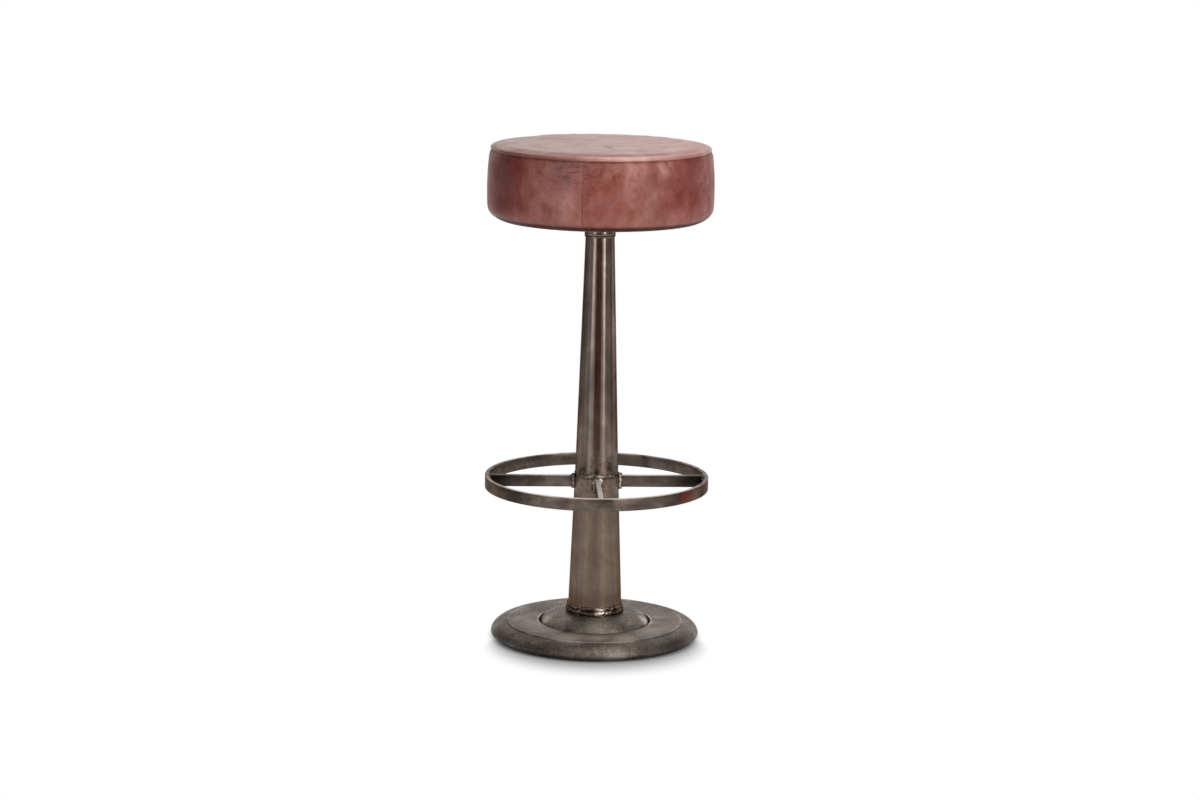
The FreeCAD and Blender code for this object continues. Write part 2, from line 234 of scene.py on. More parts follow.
turned = Matrix.Rotation(math.radians(cameraSet["turn"]), 4, "Z")
pitched = Matrix.Rotation(math.radians(cameraSet["pitch"]), 4, "X")
rolled = Matrix.Rotation(math.radians(cameraSet["roll"]), 4, "Z")
startFresh()
bpy.ops.object.camera_add(location=turned @ Vector(cameraSet["place"]),
                          rotation=(turned @ pitched @ rolled).to_euler())
scene.camera = bpy.context.object
scene.camera.data.lens = cameraSet["lens"]
scene.camera.data.sensor_width = 36
scene.camera.data.clip_end = 60

# Studio: white surround, soft lamps, dark flags that only the gloss sees

studioSet = {
    "surround": 0.5,           # level of the room on matt surfaces, white is 1
    "floor": "#d9d9d9",
    "floorSeen": 0.52,         # floor level in the shadow, for the camera and for reflections
    # shadow in metres; outside it the floor is plain white, and under the base it is clear
    "shadow": {"hidden": 0.14, "rim": 0.15, "front": 0.1, "side": 0.018},
    "lamps": {
        "keySoftbox": {"angle": 42, "away": 2.4, "height": 1.15, "size": (1.2, 2.0), "watts": 24,
                       "aim": 0.5},
        "fillSoftbox": {"angle": -48, "away": 2.4, "height": 1.1, "size": (1.0, 2.0), "watts": 12,
                        "aim": 0.45},
        "rightStrip": {"angle": 36, "away": 2.2, "height": 0.45, "size": (0.4, 0.9), "watts": 1.5,
                       "aim": 0.45},
        "leftStrip": {"angle": -36, "away": 2.2, "height": 0.5, "size": (0.3, 0.45), "watts": 0.7,
                      "aim": 0.5},
        "overhead": {"angle": 180, "away": 0.3, "height": 2.6, "size": (1.6, 1.6), "watts": 14, "aim": 0.4},
        "backdrop": {"angle": 180, "away": 2.4, "height": 0.8, "size": (3.6, 1.4), "watts": 34, "aim": 0.2,
                     "gloss": False},
    },
    "flags": {
        "leftFlag": {"radius": 2000, "from": 0, "to": 800, "reach": (-140, -84), "colour": "#aeabab"},
        "leftScrim": {"radius": 2000, "from": 0, "to": 800, "reach": (-84, -48), "colour": "#cfcdce"},
        "rightScrim": {"radius": 2000, "from": 0, "to": 800, "reach": (43, 82), "colour": "#cfcac6"},
        "rightFlag": {"radius": 2000, "from": 0, "to": 800, "reach": (82, 102), "colour": "#aba49f"},
        "leftCurtain": {"radius": 2000, "from": 800, "to": 2600, "reach": (-128, -50), "colour": "#24211f"},
        "rightCurtain": {"radius": 2000, "from": 800, "to": 2600, "reach": (50, 128), "colour": "#24211f"},
        "frontFlag": {"radius": 1800, "from": 0, "to": 600, "reach": (-23, 18), "colour": "#8f5c49"},
    },
}


def aroundStool(angle, distance, height):  # angle from the camera's direction, positive to its right
    side = math.radians(angle + cameraSet["turn"])
    return Vector((math.sin(side) * distance, -math.cos(side) * distance, height))


world = bpy.data.worlds.new("whiteRoom")
scene.world = world
world.use_nodes = True
room = world.node_tree
room.nodes.clear()
level = addNode(room, "MapRange", {3: studioSet["surround"], 4: 1.0}, {0: seenRays(room)})
white = addNode(room, "Background", {"Color": "#ffffff"}, {"Strength": level.outputs[0]})
addNode(room, "OutputWorld", {}, {"Surface": white.outputs[0]})

for lampName, lamp in studioSet["lamps"].items():
    startFresh()
    place = aroundStool(lamp["angle"], lamp["away"], lamp["height"])
    aim = (Vector((0, 0, lamp["aim"])) - place).to_track_quat("-Z", "Y").to_euler()
    bpy.ops.object.light_add(type="AREA", location=place, rotation=aim)
    softbox = bpy.context.object
    softbox.name = lampName
    softbox.data.shape = "RECTANGLE"
    softbox.data.size, softbox.data.size_y = lamp["size"]
    softbox.data.energy = lamp["watts"]
    softbox.visible_camera = False
    softbox.visible_glossy = lamp.get("gloss", True)

startFresh()
bpy.ops.mesh.primitive_plane_add(size=14)
floor = bpy.context.object
floor.name = "paperFloor"
paper = bpy.data.materials.new("seamlessPaper")
paper.use_nodes = True
tree = paper.node_tree
tree.nodes.clear()
seen = seenRays(tree)
grey = (studioSet["floorSeen"],) * 3 + (1,)
tone = addNode(tree, "Mix", {"data_type": "RGBA", 6: studioSet["floor"], 7: grey}, {0: seen})
matt = addNode(tree, "BsdfDiffuse", {}, {"Color": tone.outputs[2]})
zone = studioSet["shadow"]
spot = addNode(tree, "TexCoord").outputs["Object"]
away = addNode(tree, "VectorMath", {"operation": "LENGTH"}, {0: spot}).outputs["Value"]
depth = addNode(tree, "SeparateXYZ", {}, {0: spot}).outputs[1]
frontness = addNode(tree, "Math", {"operation": "DIVIDE"}, {0: depth, 1: away}).outputs[0]
width = addNode(tree, "MapRange", {1: -0.15, 2: -1.0, 3: zone["side"], 4: zone["front"]},
                {0: frontness}).outputs[0]
outside = addNode(tree, "Math", {"operation": "SUBTRACT", 1: zone["rim"]}, {0: away}).outputs[0]
fade = addNode(tree, "MapRange", {"interpolation_type": "SMOOTHSTEP"}, {0: outside, 2: width}).outputs[0]
plain = addNode(tree, "Math", {"operation": "MULTIPLY"}, {0: fade, 1: seen}).outputs[0]
white = addNode(tree, "Emission", {"Color": "#ffffff", "Strength": 1.0})
above = addNode(tree, "MixShader", {}, {0: plain, 1: matt.outputs[0], 2: white.outputs[0]})
clear = addNode(tree, "BsdfTransparent", {"Color": "#ffffff"})
fromBelow = addNode(tree, "NewGeometry").outputs["Backfacing"]
underBase = addNode(tree, "Math", {"operation": "LESS_THAN", 1: zone["hidden"]}, {0: away}).outputs[0]
unseen = addNode(tree, "Math", {"operation": "MAXIMUM"}, {0: fromBelow, 1: underBase}).outputs[0]
surface = addNode(tree, "MixShader", {}, {0: unseen, 1: above.outputs[0], 2: clear.outputs[0]})
addNode(tree, "OutputMaterial", {}, {"Surface": surface.outputs[0]})
floor.data.materials.append(paper)


# A curved flag that stands round the stool between two angles and that only the gloss sees
def standFlag(name, look):
    flag = turnPiece(name, [(look["radius"], look["from"]), (look["radius"], look["to"])], 360)
    clearSelection(flag, "VERT")
    for point in flag.data.vertices:
        aside = math.degrees(math.atan2(point.co.x, -point.co.y)) - cameraSet["turn"]
        point.select = not look["reach"][0] <= aside <= look["reach"][1]
    bpy.ops.object.mode_set(mode="EDIT")
    bpy.ops.mesh.delete(type="VERT")
    bpy.ops.object.mode_set(mode="OBJECT")
    cloth = bpy.data.materials.new(name + "Cloth")
    cloth.use_nodes = True
    cloth.node_tree.nodes.clear()
    matt = addNode(cloth.node_tree, "BsdfDiffuse", {"Color": look["colour"]})
    addNode(cloth.node_tree, "OutputMaterial", {}, {"Surface": matt.outputs[0]})
    flag.data.materials.append(cloth)
    flag.visible_camera = False
    flag.visible_diffuse = False
    flag.visible_shadow = False
    flag.visible_transmission = False
    return flag


[standFlag(name, look) for name, look in studioSet["flags"].items()]
print("stool: camera, lamps and floor set")


# Mild steel, rolled and welded, blackened and lacquered: brown gloss with streaks, patina and worn edges;
# painted highlights on edges and upper faces, and painted light and shade where they are listed
def agedSteel(name, look):
    material, tree, shader, place = newMaterial(name)
    parts = addNode(tree, "SeparateXYZ", {}, {0: place}).outputs
    drawn = addNode(tree, "VectorMath", {"operation": "MULTIPLY", 1: look["grain"]}, {0: place}).outputs[0]
    streaks = addNode(tree, "TexNoise", {"Scale": perSize(look["streakMm"]), "Detail": 5, "Roughness": 0.6},
                      {"Vector": drawn}).outputs[0]
    patina = addNode(tree, "TexNoise", {"Scale": perSize(look["patinaMm"]), "Detail": 6, "Roughness": 0.62,
                                        "Distortion": 0.6}, {"Vector": place}).outputs[0]
    speckMm = 2.6  # real mill scale is finer, but would not show
    specks = addNode(tree, "TexNoise", {"Scale": perSize(speckMm), "Detail": 3, "Roughness": 0.7},
                     {"Vector": place}).outputs[0]
    blend = addNode(tree, "Math", {"operation": "MULTIPLY_ADD", 1: 0.55},
                    {0: streaks, 2: patina}).outputs[0]
    tone = addNode(tree, "MapRange", {1: 0.52, 2: 1.02}, {0: blend}).outputs[0]
    colour = addNode(tree, "ValToRGB", {"stops": look["stops"]}, {0: tone}).outputs[0]
    speckAmount = addNode(tree, "MapRange", {1: 0.6, 2: 0.74, 4: look["speck"]}, {0: specks}).outputs[0]
    colour = addNode(tree, "Mix", {"data_type": "RGBA", 7: look["speckColour"]},
                     {0: speckAmount, 6: colour}).outputs[2]
    gloss = addNode(tree, "MapRange", {1: 0.3, 2: 0.75, 3: look["rough"][0], 4: look["rough"][1]},
                    {0: blend}).outputs[0]
    for mark in look.get("marks", ()):  # scorch, rust and darker patches round a point or a height in mm, and painted highlights and painted light where they are listed
        colour = stainAndLight(tree, colour, place, patina, mark)
    if "scorch" in look:  # blotches left by the welding torch, between two heights in mm
        scorch = look["scorch"]
        burnt = addNode(tree, "TexNoise", {"Scale": perSize(scorch["sizeMm"]), "Detail": 5,
                                           "Roughness": 0.75}, {"Vector": place}).outputs[0]
        middle = (scorch["low"] + scorch["high"]) / 2 * mm
        half = (scorch["high"] - scorch["low"]) / 2 * mm
        zone = addNode(tree, "MapRange", {"interpolation_type": "SMOOTHSTEP", 1: half, 2: half * 0.3},
                       {0: offFrom(tree, parts[2], middle)}).outputs[0]
        blotch = addNode(tree, "MapRange", {1: 0.5, 2: 0.62, 4: scorch["amount"]}, {0: burnt}).outputs[0]
        burntHere = addNode(tree, "Math", {"operation": "MULTIPLY"}, {0: zone, 1: blotch}).outputs[0]
        colour = addNode(tree, "Mix", {"data_type": "RGBA", 7: scorch["colour"]},
                         {0: burntHere, 6: colour}).outputs[2]
        gloss = addNode(tree, "Mix", {3: scorch["rough"]}, {0: zone, 2: gloss}).outputs[0]
    for edge in look.get("edges", ()):  # pale edges at a height in mm: rubbed wear, with a painted highlight
        off = offFrom(tree, parts[2], edge["height"] * mm)
        paintedEdge = addNode(tree, "MapRange", {1: edge["width"] * mm, 2: 0.0, 4: edge["amount"]},
                         {0: off}).outputs[0]
        gaps = addNode(tree, "MapRange", {1: 0.35, 2: 0.6}, {0: patina}).outputs[0]
        broken = addNode(tree, "Math", {"operation": "MULTIPLY"}, {0: paintedEdge, 1: gaps}).outputs[0]
        colour = addNode(tree, "Mix", {"data_type": "RGBA", 7: edge["colour"]},
                         {0: broken, 6: colour}).outputs[2]
    if "treadAndHighlight" in look:  # upper faces painted pale: shoe scuffs, and a painted highlight where light falls from above
        up = addNode(tree, "SeparateXYZ", {}, {0: addNode(tree, "TexCoord").outputs["Normal"]}).outputs[2]
        scuffAndHighlight = addNode(tree, "MapRange", {1: 0.6, 2: 0.95, 4: look["treadAndHighlight"]["amount"]},
                          {0: up}).outputs[0]
        inFront = addNode(tree, "MapRange", {"interpolation_type": "SMOOTHSTEP", 1: -0.05, 2: -0.135,
                                             3: look["treadAndHighlight"]["behind"]}, {0: parts[1]}).outputs[0]
        scuffAndHighlight = addNode(tree, "Math", {"operation": "MULTIPLY"}, {0: scuffAndHighlight, 1: inFront}).outputs[0]
        colour = addNode(tree, "Mix", {"data_type": "RGBA", 7: look["treadAndHighlight"]["colour"]},
                         {0: scuffAndHighlight, 6: colour}).outputs[2]
        gloss = addNode(tree, "Mix", {3: look["treadAndHighlight"]["rough"]}, {0: scuffAndHighlight, 2: gloss}).outputs[0]
        dull = addNode(tree, "MapRange", {3: look["metal"], 4: look["metal"] * 0.1},
                       {0: scuffAndHighlight}).outputs[0]
        tree.links.new(dull, shader.inputs["Metallic"])
    if "ends" in look:  # painted shade that grows towards the outer ends at left and right, where the ring shades the side spokes
        reach = addNode(tree, "Math", {"operation": "ABSOLUTE"}, {0: parts[0]}).outputs[0]
        endShade = addNode(tree, "MapRange", {"interpolation_type": "SMOOTHSTEP", 1: look["ends"]["from"] * mm,
                                           2: look["ends"]["to"] * mm, 4: look["ends"]["amount"]},
                        {0: reach}).outputs[0]
        colour = addNode(tree, "Mix", {"data_type": "RGBA", 7: look["ends"]["colour"]},
                         {0: endShade, 6: colour}).outputs[2]
    waves = addNode(tree, "Bump", {"Strength": look["dents"], "Distance": 0.0012},
                    {"Height": patina}).outputs[0]
    fine = addNode(tree, "Bump", {"Strength": look["bump"], "Distance": 0.0003},
                   {"Height": specks, "Normal": waves}).outputs[0]
    tree.links.new(colour, shader.inputs["Base Color"])
    tree.links.new(gloss, shader.inputs["Roughness"])
    tree.links.new(fine, shader.inputs["Normal"])
    shader.inputs["Metallic"].default_value = look["metal"]
    shader.inputs["Specular Tint"].default_value = linear(look["edgeTint"])
    return material


steelSet = {
    "upper": {
        "grain": (1, 1, 0.03), "streakMm": 6, "patinaMm": 55, "speck": 0.35, "speckColour": "#2c211c",
        "stops": [(0.0, "#524640"), (0.45, "#6a5d57"), (0.75, "#796c65"), (1.0, "#8d8078")],
        "rough": (0.085, 0.15), "bump": 0.06, "dents": 0.03, "metal": 0.93, "edgeTint": "#9a8f88",
        "scorch": {"low": 236, "high": 302, "sizeMm": 6, "amount": 0.6, "rough": 0.33, "colour": "#2b1e18"},
        "marks": [
            {"at": (0, 0, 260), "stretch": (0.02, 0.02, 1), "size": 1.6, "amount": 0.7,
             "colour": "#1f1612"},
            {"at": (-22, -24, 267), "stretch": (1, 1, 0.8), "size": 8, "amount": 0.8, "colour": "#1e140f"},
            {"at": (-2, -33, 264), "stretch": (1, 1, 0.8), "size": 6, "amount": 0.9, "colour": "#1c120e"},
            {"at": (19, -27, 270), "stretch": (1, 1, 0.8), "size": 7, "amount": 0.75, "colour": "#2a1d17"},
            {"at": (15, -29, 276), "stretch": (1, 1, 0.7), "size": 9, "amount": 0.6, "colour": "#6e4a36"},
            # pale patches on both sides above the joint: painted light, lifting the dark that the ring and
            # spokes throw on the column
            {"at": (-30, -13, 274), "stretch": (1, 1, 0.7), "size": 15, "amount": 0.7, "colour": "#b3a79f"},
            {"at": (30, -13, 274), "stretch": (1, 1, 0.7), "size": 15, "amount": 0.7, "colour": "#b3a79f"},
        ],
    },
    "lower": {
        "grain": (1, 1, 0.04), "streakMm": 8, "patinaMm": 48, "speck": 0.3, "speckColour": "#33261f",
        "stops": [(0.0, "#5f5046"), (0.45, "#6e5f53"), (0.75, "#78695d"), (1.0, "#867769")],
        "rough": (0.26, 0.36), "bump": 0.1, "dents": 0.04, "metal": 0.9, "edgeTint": "#a3978f",
        "scorch": {"low": 222, "high": 268, "sizeMm": 6, "amount": 0.55, "rough": 0.4, "colour": "#33261f"},
        "marks": [
            {"at": (0, 0, 66), "stretch": (0.2, 0.2, 1), "size": 14, "amount": 0.55, "colour": "#54342a"},
            {"at": (0, 0, 254), "stretch": (0.02, 0.02, 1), "size": 1.8, "amount": 0.8,
             "colour": "#1f1612"},
            # pale patches on both sides below the joint: painted light, lifting the dark that the ring and
            # spokes throw on the column
            {"at": (-31, -14, 244), "stretch": (1, 1, 0.8), "size": 14, "amount": 0.7, "colour": "#b3a79f"},
            {"at": (31, -14, 244), "stretch": (1, 1, 0.8), "size": 14, "amount": 0.7, "colour": "#b3a79f"},
        ],
    },
    "bar": {
        "grain": (0.25, 0.25, 1.0), "streakMm": 6, "patinaMm": 40, "speck": 0.3, "speckColour": "#2d2521",
        "stops": [(0.0, "#453a34"), (0.45, "#5f544d"), (0.75, "#6f645d"), (1.0, "#837770")],
        "rough": (0.24, 0.36), "bump": 0.12, "dents": 0.05, "metal": 0.9, "edgeTint": "#a59b94",
        # pale top and bottom edges of the ring: wear, with a painted highlight along the top
        "edges": [{"height": 254, "width": 1.3, "amount": 0.85, "colour": "#c4bab2"},
                  {"height": 235, "width": 0.9, "amount": 0.5, "colour": "#97897f"}],
        "marks": [
            {"at": (129, -112, 245), "stretch": (1, 1, 1.3), "size": 25, "amount": 0.85,
             "colour": "#74362e"},
            {"at": (-128, -112, 244), "stretch": (1, 1, 0.5), "size": 46, "amount": 0.6,
             "colour": "#2b2521"},
            {"at": (112, -130, 244), "stretch": (1, 1, 0.5), "size": 30, "amount": 0.55,
             "colour": "#2b2521"},
            {"at": (60, -160, 244), "stretch": (1, 1, 0.5), "size": 28, "amount": 0.35,
             "colour": "#2b2521"},
            {"at": (-122, 114, 244), "stretch": (1, 1, 0.5), "size": 44, "amount": 0.2,
             "colour": "#241e1b"},
        ],
        # the ring's upper face painted pale, in front only: shoe scuffs and a painted highlight
        "treadAndHighlight": {"amount": 0.85, "behind": 0.05, "colour": "#efe8e1", "rough": 0.5},
    },
    "weld": {
        "grain": (1, 1, 1), "streakMm": 5, "patinaMm": 16, "speck": 0.4, "speckColour": "#2a201c",
        "stops": [(0.0, "#42352e"), (0.45, "#64564c"), (0.75, "#80736a"), (1.0, "#a3978e")],
        "rough": (0.18, 0.32), "bump": 0.2, "dents": 0.2, "metal": 0.94, "edgeTint": "#a89d96",
        "marks": [
            # painted highlight on the front of the foot weld
            {"at": (8, -44, 48), "stretch": (0.7, 1, 1), "size": 7, "amount": 0.9, "colour": "#e3d9d0"},
            {"at": (-18, -41, 47), "stretch": (0.6, 1, 1), "size": 12, "amount": 0.75, "colour": "#33231c"},
            {"at": (29, -34, 47), "stretch": (0.7, 1, 1), "size": 9, "amount": 0.6, "colour": "#36251e"},
            # painted highlights on the front of the joint weld and on the right-hand root beads
            {"at": (3, -37, 253), "stretch": (1, 1, 1), "size": 7, "amount": 0.9, "colour": "#efe6dd"},
            {"at": (37, -6, 246), "stretch": (1, 1, 0.7), "size": 9, "amount": 0.7, "colour": "#d3c8be"},
            {"at": (0, 0, 257), "stretch": (0.15, 0.15, 1), "size": 6, "amount": 0.45, "colour": "#2a1f1a"},
        ],
    },
}
# spokes: upper faces painted pale as shoe scuffs and a painted highlight, and painted shade towards the ends
# of the side spokes
steelSet["spoke"] = dict(steelSet["bar"], marks=[],
                         treadAndHighlight={"amount": 0.8, "behind": 1.0, "colour": "#e6ded6", "rough": 0.5},
                         ends={"from": 70, "to": 158, "amount": 0.92, "colour": "#191411"})
upperSteel = agedSteel("lacqueredSteelUpper", steelSet["upper"])
lowerSteel = agedSteel("lacqueredSteelLower", steelSet["lower"])
barSteel = agedSteel("lacqueredFlatBar", steelSet["bar"])
spokeSteel = agedSteel("lacqueredSpokeBar", steelSet["spoke"])
weldSteel = agedSteel("weldBeadSteel", steelSet["weld"])

# Base: iron cast in sand, blackened; grainy skin, painted highlights on edges and the flat ring, dirt and
# painted shade in the groove, painted shade at the rim's step and low on the rim

ironSet = {
    "grainMm": 2.8, "pitMm": 5.5, "cloudMm": 42,  # real sand grain is under 1 mm, too fine to show
    "rough": (0.4, 0.56), "bump": 0.7, "flecks": 0.17, "metal": 0.75, "edgeTint": "#e6ded8",
    "lacquer": 0.15, "lacquerRough": 0.4,
    "lowShade": {"from": 14, "to": 2, "amount": 0.55, "colour": "#2b2521"},
    "stops": [(0.0, "#3d3530"), (0.45, "#61574f"), (0.75, "#786d65"), (1.0, "#8e847b")],
    "grooveRadius": 84, "grooveWidth": 5, "grimeAndShadeColour": "#2a231f", "rimFrom": 136, "rimShade": 0.3,
    "edges": [{"radius": 87, "width": 2.2, "amount": 0.8, "colour": "#c2b8af"},
              {"radius": 133.5, "width": 3, "amount": 0.4, "colour": "#b3a99f"},
              {"radius": 136.3, "width": 1.8, "amount": 0.3, "colour": "#1c1613"}],
    # pale marks: painted highlights on the flat ring, the dome and the rim; dark marks at the groove's front
    # and low on the rim: painted shade and a painted contact shadow; the two dark spots on the dome are
    # darker patches
    "marks": [{"at": (0, -112, 26), "size": 20, "amount": 0.8, "colour": "#c6bcb2"},
              {"at": (76, -20, 25), "size": 14, "amount": 0.95, "colour": "#ddd3c8"},
              {"at": (-75, -20, 25), "size": 14, "amount": 0.8, "colour": "#c8beb4"},
              {"at": (-44, -72, 20), "size": 11, "amount": 0.85, "colour": "#17110e"},
              {"at": (0, -159, 2), "size": 7, "amount": 0.8, "colour": "#1a1411"},
              {"at": (28, -156, 13), "size": 18, "amount": 0.55, "colour": "#9b9086"},
              {"at": (-155, -16, 13), "size": 16, "amount": 0.55, "colour": "#b9b0a8"},
              {"at": (152, -36, 13), "size": 16, "amount": 0.4, "colour": "#a89e95"},
              {"at": (2, -68, 34), "size": 19, "amount": 0.8, "colour": "#9d948a"},
              {"at": (6, -50, 40), "size": 20, "amount": 0.7, "colour": "#958c83"},
              {"at": (-36, -110, 26), "size": 27, "amount": 0.8, "colour": "#b3a99f"},
              {"at": (34, -112, 26), "size": 25, "amount": 0.75, "colour": "#b3a99f"},
              {"at": (-96, -36, 26), "size": 30, "amount": 0.5, "colour": "#8f877f"},
              {"at": (80, -66, 26), "size": 28, "amount": 0.55, "colour": "#9c938a"},
              {"at": (-36, -58, 34), "size": 13, "amount": 0.6, "colour": "#332b26"},
              {"at": (36, -62, 34), "size": 11, "amount": 0.5, "colour": "#332b26"},
              {"at": (-152, -36, 8), "size": 50, "amount": 0.6, "colour": "#221c18"},
              {"at": (-104, -122, 6), "size": 36, "amount": 0.8, "colour": "#1f1915"},
              {"at": (122, -102, 4), "size": 40, "amount": 0.75, "colour": "#211b17"},
              {"at": (-68, -144, 5), "size": 34, "amount": 0.5, "colour": "#261f1b"},
              {"at": (14, -158, 9), "size": 24, "amount": 0.45, "colour": "#857b72"}],
}


def castIron(name, look):
    material, tree, shader, place = newMaterial(name)
    parts = addNode(tree, "SeparateXYZ", {}, {0: place}).outputs
    flat = addNode(tree, "CombineXYZ", {}, {0: parts[0], 1: parts[1]}).outputs[0]
    radius = addNode(tree, "VectorMath", {"operation": "LENGTH"}, {0: flat}).outputs["Value"]
    grain = addNode(tree, "TexNoise", {"Scale": perSize(look["grainMm"]), "Detail": 3, "Roughness": 0.65},
                    {"Vector": place}).outputs[0]
    pits = addNode(tree, "TexVoronoi", {"Scale": perSize(look["pitMm"]), "Randomness": 1.0},
                   {"Vector": place}).outputs["Distance"]
    clouds = addNode(tree, "TexNoise", {"Scale": perSize(look["cloudMm"]), "Detail": 6, "Roughness": 0.65,
                                        "Distortion": 0.5}, {"Vector": place}).outputs[0]
    mixed = addNode(tree, "Math", {"operation": "MULTIPLY_ADD", 1: 0.7}, {0: grain, 2: clouds}).outputs[0]
    tone = addNode(tree, "MapRange", {1: 0.59, 2: 1.11}, {0: mixed}).outputs[0]
    colour = addNode(tree, "ValToRGB", {"stops": look["stops"]}, {0: tone}).outputs[0]
    # darker in the groove, down in the recess: dirt and painted shade
    fromGroove = offFrom(tree, radius, look["grooveRadius"] * mm)
    grooveDirtAndShade = addNode(tree, "MapRange", {"interpolation_type": "SMOOTHSTEP", 1: look["grooveWidth"] * mm,
                                      2: 0.002, 4: 0.85}, {0: fromGroove}).outputs[0]
    low = addNode(tree, "MapRange", {1: 0.026, 2: 0.0225, 3: 0.15, 4: 1.0}, {0: parts[2]}).outputs[0]
    grooveShadeLow = addNode(tree, "Math", {"operation": "MULTIPLY"}, {0: grooveDirtAndShade, 1: low}).outputs[0]
    colour = addNode(tree, "Mix", {"data_type": "RGBA", 7: look["grimeAndShadeColour"]},
                     {0: grooveShadeLow, 6: colour}).outputs[2]
    gaps = addNode(tree, "MapRange", {1: 0.38, 2: 0.58}, {0: clouds}).outputs[0]
    for edge in look["edges"]:  # painted highlights and a painted dark crease along edges, at a radius in mm
        off = offFrom(tree, radius, edge["radius"] * mm)
        paintedEdge = addNode(tree, "MapRange", {1: edge["width"] * mm, 2: 0.0, 4: edge["amount"]},
                         {0: off}).outputs[0]
        broken = addNode(tree, "Math", {"operation": "MULTIPLY"}, {0: paintedEdge, 1: gaps}).outputs[0]
        colour = addNode(tree, "Mix", {"data_type": "RGBA", 7: edge["colour"]},
                         {0: broken, 6: colour}).outputs[2]
    # the sloped rim outside the step painted darker: painted shade
    rim = addNode(tree, "MapRange", {"interpolation_type": "SMOOTHSTEP", 1: look["rimFrom"] * mm,
                                     2: look["rimFrom"] * mm + 0.005, 4: look["rimShade"]},
                  {0: radius}).outputs[0]
    colour = addNode(tree, "Mix", {"data_type": "RGBA", 7: look["grimeAndShadeColour"]},
                     {0: rim, 6: colour}).outputs[2]
    foot = look["lowShade"]  # painted shade low on the rim, near the floor
    lowShade = addNode(tree, "MapRange", {1: foot["from"] * mm, 2: foot["to"] * mm, 4: foot["amount"]},
                    {0: parts[2]}).outputs[0]
    colour = addNode(tree, "Mix", {"data_type": "RGBA", 7: foot["colour"]},
                     {0: lowShade, 6: colour}).outputs[2]
    for mark in look["marks"]:  # painted highlights, painted shade and a painted contact shadow round a point in mm, and two darker patches on the dome
        colour = stainAndLight(tree, colour, place, clouds, mark)
    fleck = addNode(tree, "MapRange", {1: 0.36, 2: 0.64, 3: 1 - look["flecks"], 4: 1 + look["flecks"]},
                    {0: grain}).outputs[0]
    colour = addNode(tree, "VectorMath", {"operation": "SCALE"}, {0: colour, "Scale": fleck}).outputs[0]
    gloss = addNode(tree, "MapRange", {1: 0.57, 2: 1.12, 3: look["rough"][1], 4: look["rough"][0]},
                    {0: mixed}).outputs[0]
    skin = addNode(tree, "Math", {"operation": "MULTIPLY_ADD", 1: 0.6}, {0: pits, 2: grain}).outputs[0]
    bump = addNode(tree, "Bump", {"Strength": look["bump"], "Distance": 0.0009},
                   {"Height": skin}).outputs[0]
    tree.links.new(colour, shader.inputs["Base Color"])
    tree.links.new(gloss, shader.inputs["Roughness"])
    tree.links.new(bump, shader.inputs["Normal"])
    shader.inputs["Metallic"].default_value = look["metal"]
    shader.inputs["Coat Weight"].default_value = look["lacquer"]
    shader.inputs["Coat Roughness"].default_value = look["lacquerRough"]
    shader.inputs["Specular Tint"].default_value = linear(look["edgeTint"])
    return material


ironSkin = castIron("sandCastIron", ironSet)

baseSet = {
    "segments": 192,
    "rings": [(38.2, 52), (38.2, 40), (45, 40)]
    + cornerRings((45, 22), 37.6, 18, 90, 0, 9)[1:]  # dome
    + [(82.6, 16), (85.8, 16), (85.8, 26), (98, 26), (110, 26), (122, 26), (135.5, 26)]  # groove, flat ring
    + cornerRings((136, 7), 24, 17.2, 90, 0, 9)  # rounded rim below a low step
    + [(154, 1.8), (148.8, 1.8), (148.8, 3), (136.5, 3), (136.5, 18), (95, 18), (95, 3), (73, 3), (73, 18),
       (41.5, 30)],
    "bevels": [(135.5, 26, 0.7, 3), (85.8, 26, 2.0, 4), (160, 7, 1.5, 4), (154, 1.8, 1.4, 3),
               (82.6, 16, 1.2, 2), (85.8, 16, 1.2, 2)],
    "castSize": 24, "castDepth": 0.5,
}
base = turnPiece("baseCasting", baseSet["rings"], baseSet["segments"])
bevelRings(base, baseSet["bevels"])
capRings(base, [baseSet["rings"][0], baseSet["rings"][-1]])
roughen(base, baseSet["castSize"], baseSet["castDepth"])
smooth(base, 50)
settle(base, "stand", "cast_iron", ironSkin, "base_casting")
print("stool: base made")

# Column: two rolled cones, the welds at foot and joint, the collar at the head

columnSet = {
    "segments": 144,
    "foot": (41.5, 38), "joint": (33.2, 257), "head": (22, 625), "wall": 2.5,
    "collar": [(19.2, 570), (19.2, 625), (23.6, 625), (23.6, 632.5), (13.97, 632.5), (13.97, 570.5)],
    "collarBevels": [(23.6, 632.5, 0.9, 3), (23.6, 625, 0.6, 2)],
    "welds": {
        "columnFootWeld": {
            "node": "column_foot_weld", "lump": 7.5, "depth": 4.4, "wander": 4,
            "rings": cornerRings((41.2, 44.6), 3.3, 4.2, -85, 85, 8)  # two passes, one above the other
            + cornerRings((40.9, 51.6), 2.3, 3.0, -70, 88, 7) + [(39, 53.7), (39, 41)],
        },
        "columnJointWeld": {
            "node": "column_joint_weld", "lump": 6, "depth": 2.2, "wander": 6,
            "rings": cornerRings((32.8, 257), 1.3, 2.4, -88, 88, 6) + [(31.5, 258), (31.5, 256)],
        },
        "collarWeld": {
            "node": "housing_weld", "lump": 6, "depth": 0.7, "wander": 0,
            "rings": cornerRings((22.1, 623.4), 1.4, 1.6, -88, 88, 5) + [(20.5, 624), (20.5, 623)],
        },
    },
    "weldSegments": 300, "wanderSize": 13,
}


